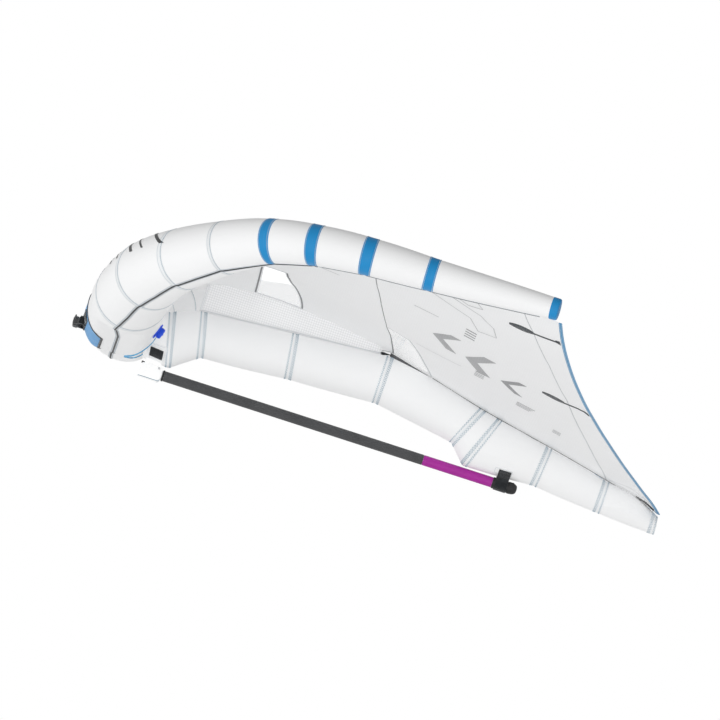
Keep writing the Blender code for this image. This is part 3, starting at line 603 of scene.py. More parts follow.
# ============================================================== geometry helpers
class Soup:
    """Vertices, faces and pattern coordinates of one piece while it is being made."""

    def __init__(self):
        self.v, self.f, self.t = [], [], []

    def grid(self, P, UV, close_i=False, close_j=False, flip=False):
        """P[i][j] points, UV[i][j] pattern coordinates; a closed direction needs one more UV row."""
        ni, nj = len(P), len(P[0])
        base = len(self.v)
        for row in P:
            self.v.extend([tuple(p) for p in row])
        for i in range(ni if close_i else ni - 1):
            for j in range(nj if close_j else nj - 1):
                i2, j2 = (i + 1) % ni, (j + 1) % nj
                q = [base + i * nj + j, base + i2 * nj + j, base + i2 * nj + j2, base + i * nj + j2]
                t = [UV[i][j], UV[i + 1][j], UV[i + 1][j + 1], UV[i][j + 1]]
                if flip:
                    q.reverse()
                    t.reverse()
                self.f.append(q)
                self.t.append(t)
        return base

    def poly(self, pts, uvs=None):
        base = len(self.v)
        self.v.extend([tuple(p) for p in pts])
        self.f.append(list(range(base, base + len(pts))))
        self.t.append(uvs or [(0, 0)] * len(pts))

    def dash(self, a, b, n, w, h):
        """One raised stitch from a to b."""
        a, b, n = (np.asarray(k, float) for k in (a, b, n))
        d = b - a
        L = np.linalg.norm(d)
        if L < 1e-6:
            return
        d /= L
        s = np.cross(n, d)
        s *= w / 2 / max(np.linalg.norm(s), 1e-9)
        e = d * min(w * .6, L * .3)
        base = len(self.v)
        for p in (a - s, a + s, b + s, b - s):
            self.v.append(tuple(p - n * h * .5))
        for p in (a + e - s * .55, a + e + s * .55, b - e + s * .55, b - e - s * .55):
            self.v.append(tuple(p + n * h))
        for q in ((4, 5, 6, 7), (0, 1, 5, 4), (1, 2, 6, 5), (2, 3, 7, 6), (3, 0, 4, 7), (3, 2, 1, 0)):
            self.f.append([base + k for k in q])
            self.t.append([(0, 0), (w, 0), (w, L), (0, L)])

    def box(self, size, at, rot=None, uv=True):
        sx, sy, sz = (k / 2 for k in size)
        R = rot if rot is not None else Matrix.Identity(3)
        base = len(self.v)
        for x, y, z in ((-1, -1, -1), (1, -1, -1), (1, 1, -1), (-1, 1, -1), (-1, -1, 1), (1, -1, 1), (1, 1, 1), (-1, 1, 1)):
            p = R @ Vector((x * sx, y * sy, z * sz)) + Vector(at)
            self.v.append(tuple(p))
        for q in ((0, 3, 2, 1), (4, 5, 6, 7), (0, 1, 5, 4), (1, 2, 6, 5), (2, 3, 7, 6), (3, 0, 4, 7)):
            self.f.append([base + k for k in q])
            pts = [np.array(self.v[base + k]) for k in q]
            L, H = np.linalg.norm(pts[1] - pts[0]), np.linalg.norm(pts[3] - pts[0])
            self.t.append([(0, 0), (L, 0), (L, H), (0, H)])

    def make(self, name, mat, body, slot, smooth=True, sharp=None, mats=None, fmat=None):
        me = bpy.data.meshes.new(name)
        v = np.asarray(self.v, float) + SHIFT
        me.from_pydata([tuple(p) for p in v], [], self.f)
        uv = me.uv_layers.new(name='pattern')
        flat = [c for face in self.t for p in face for c in p]
        uv.data.foreach_set('uv', np.asarray(flat, np.float32))
        me.materials.append(mat)
        for extra in mats or []:
            me.materials.append(extra)
        if fmat is not None:
            me.polygons.foreach_set('material_index', fmat)
        me.polygons.foreach_set('use_smooth', [smooth] * len(me.polygons))
        if smooth and sharp:
            me.set_sharp_from_angle(angle=math.radians(sharp))
        me.validate()
        me.update()
        o = bpy.data.objects.new(name, me)
        scene.collection.objects.link(o)
        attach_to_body(o, body)
        return o


def ribbon(soup, fn, us, vs, hs, close=False):
    """A strip on a surface: fn(u, v, h) gives points; hs are heights at each v. Rounded off to the surface at both edges."""
    P = [[fn(u, v, h) for v, h in zip(vs, hs)] for u in us]
    UV = [[(u, v) for v in vs] for u in us]
    if close:
        UV.append([(us[-1] + (us[1] - us[0]), v) for v in vs])
    soup.grid(P, UV, close_i=close)


def zigzag(soup, fn, u0, u1, v0, amp, pitch, w, h, off=0.0):
    """A zigzag thread row on a surface given by fn(u, v, h)."""
    n = max(2, int(round((u1 - u0) / (pitch / 2))))
    us = [u0 + (u1 - u0) * i / n for i in range(n + 1)]
    pts, tops = [], []
    for i, u in enumerate(us):
        v = v0 + (amp / 2 if i % 2 else -amp / 2)
        p, q = fn(u, v, off), fn(u, v, off + .001)
        pts.append(p)
        d = q - p
        tops.append(d / np.linalg.norm(d))
    for i in range(n):
        soup.dash(pts[i], pts[i + 1], tops[i], w, h)


def dashes(soup, pts, normals, pitch, length, w, h, side=0.0):
    """Straight stitches along a polyline."""
    pts = [np.asarray(p, float) for p in pts]
    seg = [np.linalg.norm(b - a) for a, b in zip(pts, pts[1:])]
    cum = np.concatenate([[0], np.cumsum(seg)])
    total = cum[-1]
    n = max(1, int(total / pitch))

    def at(x):
        i = int(min(max(np.searchsorted(cum, x) - 1, 0), len(seg) - 1))
        u = (x - cum[i]) / max(seg[i], 1e-9)
        p = pts[i] * (1 - u) + pts[i + 1] * u
        m = normals[i] * (1 - u) + normals[i + 1] * u
        m = m / np.linalg.norm(m)
        d = (pts[i + 1] - pts[i]) / max(seg[i], 1e-9)
        return p + np.cross(m, d) * side, m

    for k in range(n):
        x = (k + .5) * total / n
        (a, m), (b, _) = at(max(x - length / 2, 0)), at(min(x + length / 2, total))
        soup.dash(a, b, m, w, h)


def lathe(name, profile, mat, body, slot, at=(0, 0, BOOM_Z), axis=(0, 1, 0), n=64, sharp=35, closed=False):
    """Turned piece: (radius, height) rows spun round an axis."""
    q = Vector((0, 0, 1)).rotation_difference(Vector(axis)).to_matrix()
    at = Vector(at)
    soup = Soup()
    rows, uvs = [], []
    dist = 0.0
    prof = list(profile) + ([profile[0]] if closed else [])
    for k, (r, h) in enumerate(prof):
        if k:
            dist += math.dist(prof[k - 1], prof[k])
        rows.append([tuple(at + q @ Vector((r * math.cos(2 * math.pi * i / n), r * math.sin(2 * math.pi * i / n), h))) for i in range(n)])
        uvs.append([(dist, 2 * math.pi * max(r, .002) * i / n) for i in range(n + 1)])
    soup.grid(rows, uvs, close_j=True)
    o = soup.make(name, mat, body, slot, True, sharp)
    bm = bmesh.new()
    bm.from_mesh(o.data)
    bmesh.ops.remove_doubles(bm, verts=bm.verts, dist=1e-6)
    bmesh.ops.recalc_face_normals(bm, faces=bm.faces)
    bm.to_mesh(o.data)
    bm.free()
    return o


def rounded(soup_obj, width, segments=3, angle=40):
    m = soup_obj.modifiers.new('Bevel', 'BEVEL')
    m.width = width
    m.segments = segments
    m.limit_method = 'ANGLE'
    m.angle_limit = math.radians(angle)
    m.harden_normals = False
    return soup_obj


def arange(a, b, step):
    n = max(1, int(math.ceil((b - a) / step - 1e-9)))
    return [a + (b - a) * i / n for i in range(n + 1)]


# ================================================================== leading edge
def le_stations():
    out = set()
    marks = [0] + LE_SEAMS + [TIP_S]
    for a, b in zip(marks, marks[1:]):
        for s in arange(a, b, .016):
            out.add(round(s, 5))
    for q in LE_SEAMS:
        for d in (-.012, -.006, -.003, .003, .006, .012):
            out.add(round(q + d, 5))
    half = sorted(out)
    return [-s for s in half[:0:-1]] + half


N = 72
STN = le_stations()


def gather(s, deg):
    """Small radial puckers in the cloth beside each ring seam, deepest on the inside of the bend."""
    a = abs(s)
    out = 0.0
    for q in LE_SEAMS:
        d = a - q
        if abs(d) < .07:
            inside = .35 + .65 * max(0.0, math.cos(math.radians(deg - 20)))
            e = math.exp(-abs(d) / .018) * (1 - math.exp(-abs(d) / .004))
            out -= .0010 * inside * e * (.5 + .5 * math.sin(math.radians(deg) * 23 + 40 * q + (2 if d > 0 else 0)))
    return out


soup = Soup()
rows, uvs = [], []
for s in STN:
    rows.append([on_tube(s, 360 * j / N, gather(s, 360 * j / N)) for j in range(N)])
    r = radius(s)
    uvs.append([(s, 2 * math.pi * .11 * j / N) for j in range(N + 1)])
soup.grid(rows, uvs, close_j=True)
le = soup.make('leading_edge_sleeve', M_SLEEVE, 'wing', 'sleeve_white')
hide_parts('leading_edge')


def ring_fn(s0):
    r = radius(s0)
    return lambda u, v, h: on_tube(s0 + v, math.degrees(u / r), h)


# ring seams with a narrow tape and two thread rows, blue bands further out
for side, tag in SIDES:
    tape, thr, blue, bthr = Soup(), Soup(), Soup(), Soup()
    for q in (RING_A, RING_B, RING_C, RING_D):
        fn = ring_fn(side * q)
        L = 2 * math.pi * radius(q)
        us = [L * i / 96 for i in range(96)]
        ribbon(tape, fn, us, [-.0078, -.0070, -.0035, 0, .0035, .0070, .0078], [.0000, .0006, .0007, .0011, .0007, .0006, .0000], True)
        zigzag(thr, fn, 0, L, side * .0048, .0030, .0070, .0013, .0007, .0007)
    for q, w in BANDS:
        fn = ring_fn(side * q)
        L = 2 * math.pi * radius(q)
        us = [L * i / 96 for i in range(96)]
        h = w / 2
        ribbon(blue, fn, us, [-h, -h + .0008, -h * .5, 0, h * .5, h - .0008, h], [.0001, .0008, .0009, .0020, .0009, .0008, .0001], True)
        for e in (-1, 1):
            zigzag(bthr, fn, 0, L, e * (h - .0032), .0026, .0064, .0010, .0005, .0009)
    # tip band and the closed end of the tube
    ss = [TIP_S - .0010, TIP_S + .0010, 2.503, 2.509, 2.515, 2.5205, 2.5225, 2.5240, 2.5250, 2.5256]
    kk = [1.004, 1.024, 1.026, 1.026, 1.024, 1.018, 1.00, .965, .86, .50]
    rows, uvs = [], []
    for s, k in zip(ss, kk):
        c, t, up, rear = tube_frame(side * s)
        r = radius(s, False) * k
        rows.append([c + r * (math.cos(2 * math.pi * j / N) * rear + math.sin(2 * math.pi * j / N) * up) for j in range(N)])
        uvs.append([(s, 2 * math.pi * .035 * j / N) for j in range(N + 1)])
    c = tube_frame(side * 2.5264)[0]
    rows.append([c] * N)
    uvs.append([(TIP_END + .003, 2 * math.pi * .035 * j / N) for j in range(N + 1)])
    tip = Soup()
    tip.grid(rows, uvs, close_j=True)
    o = tip.make('tip_band_' + tag, M_BAND, 'wing', 'band_blue')
    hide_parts('tip_cap_' + tag)
    tape.make('ring_seams_' + tag, M_RINGTAPE, 'wing', 'sleeve_white')
    thr.make('ring_threads_' + tag, M_THREAD, 'wing', 'batten_grey', False)
    blue.make('blue_bands_' + tag, M_BAND, 'wing', 'band_blue')
    bthr.make('band_threads_' + tag, M_THREAD_LT, 'wing', 'batten_grey', False)

# closing seam along the tube's underside: grey tape with a black cord on it
SEAM_DEG = [(0, 271), (.40, 270), (.52, 265.5), (.62, 262), (.67, 261), (.7106, 262), (.81, 264.5), (.9106, 263.5), (1.02, 263), (1.1255, 258.5),
            (1.225, 257), (1.3247, 257.5), (1.43, 266), (1.5328, 274), (1.6838, 276), (1.80, 274), (2.08, 272), (2.49, 270)]


def seam_fn(s, v, h):
    r = radius(s)
    return on_tube(s, table(SEAM_DEG, abs(s)) + math.degrees(v / r), h)


for side, tag in SIDES:
    us = [side * s for s in STN if 0 <= s <= 2.475]
    tape, cord, thr = Soup(), Soup(), Soup()
    ribbon(tape, seam_fn, us, [-.0092, -.0084, -.0040, .0040, .0084, .0092], [0, .0006, .0007, .0007, .0006, 0])
    # the black cord is full size out to 1.70, where it also stands for the shadow gap along the tube's lower outline
    # (painted shadow); further out it is slimmer
    near = [u for u in us if abs(u) <= 1.700]
    far = [u for u in us if abs(u) >= 1.700]
    vs = [-.0031, -.0029, -.0020, 0, .0020, .0029, .0031]
    hs = [.0004, .0016, .0027, .0031, .0027, .0016, .0004]
    ribbon(cord, seam_fn, near, vs, hs)
    P = [[seam_fn(u, v * .45, h * .6) for v, h in zip(vs, hs)] for u in far]
    cord.grid(P, [[(u, v) for v in vs] for u in far])
    for e in (-1, 1):
        pts = [seam_fn(u, e * .0064, .0007) for u in us]
        nor = [(seam_fn(u, e * .0064, .002) - p) for u, p in zip(us, pts)]
        dashes(thr, pts, nor, .0062, .0036, .0011, .0005)
    tape.make('underside_seam_tape_' + tag, M_KEELTAPE, 'wing', 'sleeve_white')
    cord.make('underside_seam_cord_' + tag, M_PIPING, 'wing', 'webbing_black')
    thr.make('underside_seam_threads_' + tag, M_THREAD, 'wing', 'batten_grey', False)

# ========================================================================= strut
_marks = [0.0] + [_sl[k] for k in STRUT_SEAMS] + [_sl[-1]]
ls = set()
for a, b in zip(_marks, _marks[1:]):
    for l in arange(a, b, .014):
        ls.add(round(l, 5))
for q in _marks[1:-1]:
    for d in (-.012, -.005, .005, .012):
        ls.add(round(q + d, 5))
LS = sorted(ls)


def strut_pucker(l, a):
    out = 0.0
    for k in STRUT_SEAMS:
        d = l - _sl[k]
        if abs(d) < .06:
            e = math.exp(-abs(d) / .016) * (1 - math.exp(-abs(d) / .004))
            low = .4 + .6 * max(0.0, -math.cos(math.radians(a)))
            if k in (5, 7, 13, 14):
                low = .45
            out -= .0012 * low * e * (.5 + .5 * math.sin(math.radians(a) * 19 + 7 * k))
    return out


soup = Soup()
rows, uvs = [], []
for l in LS:
    rows.append([on_strut(l, 360 * j / N, strut_pucker(l, 360 * j / N)) for j in range(N)])
    uvs.append([(l, .5 * j / N) for j in range(N + 1)])
soup.grid(rows, uvs, close_j=True)
# the rear end, gathered flat inside its end band
row = rows[-1]
mid = sum(np.asarray(p) for p in row) / N
inner = [[mid + (np.asarray(p) - mid) * k + np.array([0, .0030 * (1 - k), -.0008]) for p in row] for k in (.93, .70, .35, .02)]
soup.grid([row] + inner, [[(_sl[-1] + .01 * i, .5 * j / N) for j in range(N + 1)] for i in range(5)], close_j=True)
strut = soup.make('strut_sleeve', M_STRUT, 'wing', 'sleeve_white', True, 50)
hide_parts('strut')


def strut_fn(l0):
    row, _ = strut_row(l0)
    L = np.linalg.norm(row[0:2] - row[2:4]) / 2
    girth = math.pi * (3 * (L + row[4]) - math.sqrt((3 * L + row[4]) * (L + 3 * row[4])))
    fn = lambda u, v, h: on_strut(l0 + v, 360 * u / girth, h)
    return fn, girth


tape, thr, core = Soup(), Soup(), Soup()
for k in STRUT_SEAMS + [len(STRUT_RINGS) - 1]:
    end = k == len(STRUT_RINGS) - 1
    l0 = _sl[k] - (.0125 if end else 0.0)
    fn, girth = strut_fn(l0)
    us = [girth * i / 96 for i in range(96)]
    flip = -1 if k in (11, 13, 14) or end else 1
    # a narrow row, a bright ridge, then a wide net of two crossing rows
    ribbon(tape, fn, us, [-.0135, -.0128, -.0050, .0050, .0128, .0135], [0, .0006, .0007, .0007, .0006, 0], True)
    ribbon(core, fn, us, [flip * v for v in ((-.0052, -.0044, -.0028, -.0012, -.0004) if flip > 0 else (-.0004, -.0012, -.0028, -.0044, -.0052))],
           [.0004, .0012, .0015, .0012, .0004], True)
    zigzag(thr, fn, 0, girth, flip * -.0094, .0060, .0090, .0013, .0006, .0007)
    zigzag(thr, fn, 0, girth, flip * .0042, .0060, .0090, .0013, .0006, .0007)
    zigzag(thr, fn, .0022, girth + .0022, flip * .0100, .0056, .0090, .0013, .0006, .0007)
tape.make('strut_seam_tapes', M_SEAM, 'wing', 'sleeve_white')
core.make('strut_seam_ridges', M_PATCH, 'wing', 'sleeve_white')
thr.make('strut_seam_threads', M_THREAD, 'wing', 'batten_grey', False)

# blue piping where the strut's fairing meets the tube
for side, tag in SIDES:
    soup = Soup()
    path = []
    for i in range(41):
        a = 351 - 60 * i / 40
        x = .104 - .099 * (i / 40) ** 3
        path.append((on_tube(side * x, a, .0008), .0016 + .0026 * (i / 40) ** 1.6))
    rows = []
    for i, (p, w) in enumerate(path):
        a, b = path[max(i - 1, 0)][0], path[min(i + 1, 40)][0]
        d = (b - a) / np.linalg.norm(b - a)
        out = np.array([0, p[1], p[2]])
        out /= np.linalg.norm(out)
        sd = np.cross(d, out)
        rows.append([p + w * (math.cos(q) * out + math.sin(q) * sd) for q in [2 * math.pi * k / 12 for k in range(12)]])
    soup.grid(rows, [[(i * .0033, k * .001) for k in range(13)] for i in range(41)], close_j=True)
    soup.make('fairing_piping_' + tag, M_PIPING_BLUE, 'wing', 'nose_blue')

# ======================================================================== canopy
NJ = []                                         # chord sub-stations: (cell index, fraction)
for j in range(len(CHORD) - 1):
    for k in range(4):
        NJ.append((j, k / 4))
NJ.append((len(CHORD) - 2, 1.0))
QS = [i / 4 for i in range(4 * (len(SPAN) - 1) + 1)]
W1F, W1R, W2F, W2R = (CHORD.index(k) for k in ('w1f', 'w1r', 'w2f', 'w2r'))
WINDOWS = {'window_front': (1, 8.5, W1F, W1R), 'window_rear': (1, 7, W2F, W2R)}
_fr = {q: chord_fractions(q) for q in QS}


def t_of(q, jf):
    j = min(int(jf), len(CHORD) - 2)
    f = _fr.get(q) or chord_fractions(q)
    return f[j] + (f[j + 1] - f[j]) * (jf - j)


GRID = {}
for q in QS:
    for j, u in NJ:
        GRID[(q, j + u)] = canopy_point(q, t_of(q, j + u))
JS = [j + u for j, u in NJ]


def normal_at(q, jf):
    iq, ij = QS.index(q), JS.index(jf)
    a = GRID[(QS[min(iq + 1, len(QS) - 1)], jf)] - GRID[(QS[max(iq - 1, 0)], jf)]
    b = GRID[(q, JS[min(ij + 1, len(JS) - 1)])] - GRID[(q, JS[max(ij - 1, 0)])]
    n = np.cross(a, b)
    return n / np.linalg.norm(n)


NRM = {k: normal_at(*k) for k in GRID}


def in_hole(q, jf):
    return any(a <= q < b and c <= jf < d for a, b, c, d in WINDOWS.values())


def sheet_piece(name, cells, side, mat, body, slot, thick, lift=0.0):
    """Both faces and the rim of a sheet over chosen canopy cells, cells as (iq, ij)."""
    soup = Soup()
    idx = {}

    def vert(iq, ij, top):
        key = (iq, ij, top)
        if key not in idx:
            q, jf = QS[iq], JS[ij]
            p = GRID[(q, jf)] + NRM[(q, jf)] * (lift + (thick / 2 if top else -thick / 2))
            idx[key] = len(soup.v)
            soup.v.append((side * p[0], p[1], p[2]))
        return idx[key]

    def uv(iq, ij):
        p = GRID[(QS[iq], JS[ij])]
        return (span_at(QS[iq])[0], p[1])

    cellset = set(cells)
    for iq, ij in cells:
        c = [(iq, ij), (iq + 1, ij), (iq + 1, ij + 1), (iq, ij + 1)]
        for top in (True, False):
            q = [vert(*k, top) for k in c]
            t = [uv(*k) for k in c]
            if (side > 0) != top:
                q.reverse()
                t.reverse()
            soup.f.append(q)
            soup.t.append(t)
        for (da, db), (k1, k2) in (((0, -1), (0, 1)), ((1, 0), (1, 2)), ((0, 1), (2, 3)), ((-1, 0), (3, 0))):
            if (iq + da, ij + db) not in cellset:
                q = [vert(*c[k1], False), vert(*c[k2], False), vert(*c[k2], True), vert(*c[k1], True)]
                t = [uv(*c[k1]), uv(*c[k2]), uv(*c[k2]), uv(*c[k1])]
                if side < 0:
                    q.reverse()
                    t.reverse()
                soup.f.append(q)
                soup.t.append(t)
    return soup.make(name, mat, body, slot, True, 60)


def area_of(o):
    return sum(p.area for p in o.data.polygons) / 2


BASE = {}
CANOPY = {}
for side, tag in SIDES:
    cells = [(iq, ij) for iq in range(len(QS) - 1) for ij in range(len(JS) - 1) if not in_hole(QS[iq], JS[ij])]
    o = sheet_piece('canopy_sheet_' + tag, cells, side, M_CANOPY, 'wing', 'canopy_white', .0007)
    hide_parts('canopy_' + tag)
    CANOPY[side] = o
    every = [(iq, ij) for iq in range(len(QS) - 1) for ij in range(len(JS) - 1)]
    vs = [Vector((side * GRID[(q, jf)][0], GRID[(q, jf)][1], GRID[(q, jf)][2])) for q in QS for jf in JS]
    nj = len(JS)
    fs = [(a * nj + b, (a + 1) * nj + b, (a + 1) * nj + b + 1, a * nj + b + 1) for a, b in every]
    BASE[side] = BVHTree.FromPolygons(vs, fs)
    for wname, (a, b, c, d) in WINDOWS.items():
        cw = [(iq, ij) for iq in range(len(QS) - 1) for ij in range(len(JS) - 1) if a <= QS[iq] < b and c <= JS[ij] < d]
        w = sheet_piece(wname + '_film_' + tag, cw, side, M_FILM, 'wing', 'window_film', .0005)
        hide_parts(wname + '_' + tag)


def drop(side, x, y):
    """Canopy point and upward normal at a plan point."""
    x = min(max(x, .0006), 1.4885)
    hit = BASE[side].ray_cast(Vector((side * x, y, -1)), Vector((0, 0, 1)))
    k = 0
    while hit[0] is None and k < 120:
        k += 1
        to = np.array([.70 - x, 1.10 - y])
        to *= .001 / np.linalg.norm(to)
        x, y = max(x + to[0], .0006), y + to[1]
        hit = BASE[side].ray_cast(Vector((side * x, y, -1)), Vector((0, 0, 1)))
    n = np.array(hit[1])
    if n[2] < 0:
        n = -n
    return np.array(hit[0]), n


def under_strip(soup, side, path, widths, off, both=True, lift=.0006, crown=0.0):
    """A strip along plan points, on the sheet's underside and, if both, on its top."""
    rows_lo, rows_hi, uvs = [], [], []
    dist = 0.0
    for k, (x, y) in enumerate(path):
        a, b = path[max(k - 1, 0)], path[min(k + 1, len(path) - 1)]
        d = np.array([b[0] - a[0], b[1] - a[1]])
        d /= max(np.linalg.norm(d), 1e-9)
        nn = np.array([-d[1], d[0]])
        if k:
            dist += math.dist(path[k - 1], path[k])
        lo, hi, uv = [], [], []
        for e in (-1, -.6, 0, .6, 1):
            w = widths[k] / 2 * e
            p, n = drop(side, x + nn[0] * w, y + nn[1] * w)
            h = off + (lift + crown * (1 - e * e)) * (1 if abs(e) < 1 else 0)
            lo.append(p - n * h)
            hi.append(p + n * h)
            uv.append((dist, w))
        rows_lo.append(lo)
        rows_hi.append(hi)
        uvs.append(uv)
    soup.grid(rows_lo, uvs, flip=side > 0)
    if both:
        soup.grid(rows_hi, uvs, flip=side < 0)


def line2(a, b, step=.02):
    n = max(1, int(math.ceil(math.dist(a, b) / step)))
    return [(a[0] + (b[0] - a[0]) * i / n, a[1] + (b[1] - a[1]) * i / n) for i in range(n + 1)]


def window_line(q, which):
    """Plan points of a window's border: along q at a chord line, or along the chord at a span station."""
    p = GRID[(q, which)]
    return (float(p[0]), float(p[1]))


SEAM1 = [(1.425, .700), (1.20, .748), (1.071, .778), (.951, .805), (.805, .833), (.671, .860), (.392, .891), (.03, .922), (.004, .9235)]
SEAM2 = [(1.470, 1.235), (1.416, 1.283), (1.355, 1.332), (1.182, 1.421), (.923, 1.520), (.513, 1.633), (.006, 1.757)]

for side, tag in SIDES:
    dark, light, frames = Soup(), Soup(), Soup()
    # panel seams from the leading edge to the keel
    seam1 = []
    for a, b in zip(SEAM1, SEAM1[1:]):
        seam1 += line2(a, b)[:-1]
    seam1.append(SEAM1[-1])
    n = len(seam1)
    under_strip(dark, side, seam1, [.0030 + .0022 * min(1, max(0, (i / n - .55) * 3)) for i in range(n)], .0004, lift=.0007)
    seam2 = []
    for a, b in zip(SEAM2, SEAM2[1:]):
        seam2 += line2(a, b)[:-1]
    seam2.append(SEAM2[-1])
    under_strip(light, side, seam2, [.0042] * len(seam2), .0004, lift=.0006)
    # window borders
    for (a, b, c, d), kinds in ((WINDOWS['window_front'], 'DDLL'), (WINDOWS['window_rear'], 'NLLN')):
        qs = [q for q in QS if a <= q <= b]
        js = [j for j in JS if c <= j <= d]
        front = [window_line(q, c) for q in qs]
        rear = [window_line(q, d) for q in qs]
        inner = [window_line(a, j) for j in js]
        outer = [window_line(b, j) for j in js]
        for path, kind in zip((front, rear, outer, inner), kinds):
            if kind == 'D':
                under_strip(dark, side, path, [.0062] * len(path), .0005, lift=.0009)
                under_strip(frames, side, path, [.0165] * len(path), .0003, lift=.0004)
            elif kind == 'L':
                under_strip(light, side, path, [.0034] * len(path), .0005, lift=.0007)
                under_strip(frames, side, path, [.0135] * len(path), .0003, lift=.0004)
    dark.make('panel_seams_dark_' + tag, M_PANEL, 'wing', 'batten_grey')
    light.make('panel_seams_light_' + tag, M_PANEL_LT, 'wing', 'canopy_white')
    frames.make('window_frames_' + tag, M_FRAME, 'wing', 'canopy_white')

    # keel: sewn line along the strut, with a dark grey sheet under the rear window
    keel = Soup()
    # upright dark grey sheet that fills the gap between the keel and the strut's crown
    yy = arange(.916, 1.100, .008)
    P = [[(side * (.0012 + .0006 * k), y, strut_top(y) - .002 + (keel_z(y) + .0005 - strut_top(y)) * k) for k in (0, .33, .66, 1)] for y in yy]
    wedge = Soup()
    wedge.grid(P, [[(y, k * .02) for k in (0, .33, .66, 1)] for y in yy], flip=side > 0)
    wedge.make('keel_wedge_' + tag, M_GAP_SHEET_DARK, 'wing', 'batten_grey')
    # a needle shaped bar tack where the clear panel of the web ends
    yy = [.882, .884, .888, .894, .901, .908, .914, .920]
    hh = [.0015, .0040, .0052, .0048, .0036, .0024, .0015, .0008]
    P = [[(side * x, y, strut_top(y) + .0055 + h * k) for x, k in ((.0020, -1), (.0040, -.6), (.0044, .6), (.0020, 1))] for y, h in zip(yy, hh)]
    keel.grid(P, [[(y, k * .002) for k in range(4)] for y in yy], flip=side > 0)
    yy = arange(1.08, 1.945, .02)
    under_strip(keel, side, [(.0016, y) for y in yy], [.0022] * len(yy), .0004, lift=.0010)
    keel.make('keel_gusset_' + tag, M_WEBBING, 'wing', 'webbing_black')

    # batten pockets: lens patch, pocket with its rod, end tab
    bat = Soup()
    for which, (p0, p1, p2) in BATTENS.items():
        path = line2(p0, p1, .006)
        m = len(path)
        big = .024 if which == 'outer' else .036
        w = [.005 + big * math.sin(math.pi * min(1, (.06 + .90 * i / m))) ** .8 for i in range(m)]
        under_strip(bat, side, path, w, .0004, lift=.0010, crown=.0012)
        path = line2(p1, p2, .008)
        under_strip(bat, side, path, [.0050 if which == 'outer' else .0062] * len(path), .0006, lift=.0016, crown=.0014)
        d = np.array(p2) - np.array(p1)
        d /= np.linalg.norm(d)
        e0, e1 = tuple(np.array(p2) - d * .020), tuple(np.array(p2) - d * .001)
        path = line2(e0, e1, .005)
        under_strip(bat, side, path, [.012 + .010 * i / len(path) for i in range(len(path))], .0006, lift=.0012)
    o = bat.make('batten_pockets_' + tag, M_BATTEN, 'wing', 'batten_grey')
    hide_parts('batten_outer_' + tag, 'batten_inner_' + tag, 'batten_patch_outer_' + tag, 'batten_patch_inner_' + tag)

    # reinforcement at the tail of the sheet
    tail = Soup()
    path = line2((.014, 1.872), (.020, 1.945), .01)
    m = len(path) - 1
    under_strip(tail, side, path, [.008 + .022 * (i / m) for i in range(m + 1)], .0005, lift=.0009)
    o = tail.make('tail_gusset_' + tag, M_WEBBING, 'wing', 'batten_grey')
    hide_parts('tail_patch_' + tag)
    fine = Soup()
    for a, b in (((.030, 1.765), (.085, 1.835)), ((.085, 1.835), (.072, 1.925)), ((.030, 1.845), (.072, 1.925)), ((.030, 1.765), (.030, 1.845))):
        path = line2(a, b, .01)
        under_strip(fine, side, path, [.0022] * len(path), .0004, lift=.0004)
    fine.make('tail_stitching_' + tag, M_PANEL_LT, 'wing', 'canopy_white')

    # trailing edge tape: folded over the sheet's edge
    tape, thr = Soup(), Soup()
    nrm = np.array([-TE_SLOPE, 1.0])
    nrm /= np.linalg.norm(nrm)
    xs = arange(.0006, 1.4885, .0125)
    rows, uvs, sp, sn = [], [], [], []
    for i, x in enumerate(xs):
        p = te_point(x) + np.array([0, 0, .001])
        p[2] += .0010 * math.sin(55 * x) * min(1, x / .25) * 0.0
        q = lambda d, z: (side * (p[0] + nrm[0] * d), p[1] + nrm[1] * d, p[2] + z)
        rows.append([q(-.0010, -.0009), q(.0010, -.0013), q(.0060, -.0015), q(.0105, -.0013), q(.0117, 0), q(.0105, .0013), q(.0060, .0015), q(.0010, .0013), q(-.0010, .0009)])
        s = i * .0125
        uvs.append([(s, v) for v in (-.0060, -.0040, 0, .0044, .0060, .0044, 0, -.0040, -.0060, -.0060)])
        sp.append(np.array(q(.0030, -.0014)))
        sn.append(np.array([0, 0, -1.0]))
    tape.grid(rows, uvs, close_j=True, flip=side < 0)
    tape.poly(rows[0] if side > 0 else rows[0][::-1])
    tape.poly(rows[-1][::-1] if side > 0 else rows[-1])
    dashes(thr, sp, sn, .0060, .0036, .0010, .0004)
    dashes(thr, [p + np.array([0, 0, .0028]) for p in sp], [-k for k in sn], .0060, .0036, .0010, .0004)
    o = tape.make('trailing_edge_binding_' + tag, M_TAPE_EDGE, 'wing', 'band_blue', True, 50)
    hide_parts('trailing_edge_tape_' + tag)
    thr.make('trailing_edge_threads_' + tag, M_THREAD_LT, 'wing', 'batten_grey', False)

# ---------------------------------------------------------------- printed marks
def quad_mark(soup, side, corners, nu=6, nv=6, lift=.0004, both=True):
    """A flat printed shape on the sheet: a bilinear quad of plan points."""
    a, b, c, d = (np.array(k, float) for k in corners)
    lo, hi, uvs = [], [], []
    for i in range(nu + 1):
        u = i / nu
        l, h, t = [], [], []
        for j in range(nv + 1):
            v = j / nv
            p = (a * (1 - u) + b * u) * (1 - v) + (d * (1 - u) + c * u) * v
            s, n = drop(side, p[0], p[1])
            l.append(s - n * (.00035 + lift))
            h.append(s + n * (.00035 + lift))
            t.append((p[0], p[1]))
        lo.append(l)
        hi.append(h)
        uvs.append(t)
    soup.grid(lo, uvs, flip=side > 0)
    if both:
        soup.grid(hi, uvs, flip=side < 0)


def bar_mark(soup, side, a, b, w, n=10):
    a, b = np.array(a, float), np.array(b, float)
    d = (b - a) / np.linalg.norm(b - a)
    e = np.array([-d[1], d[0]]) * w / 2
    quad_mark(soup, side, (a - e, b - e, b + e, a + e), n, 2)


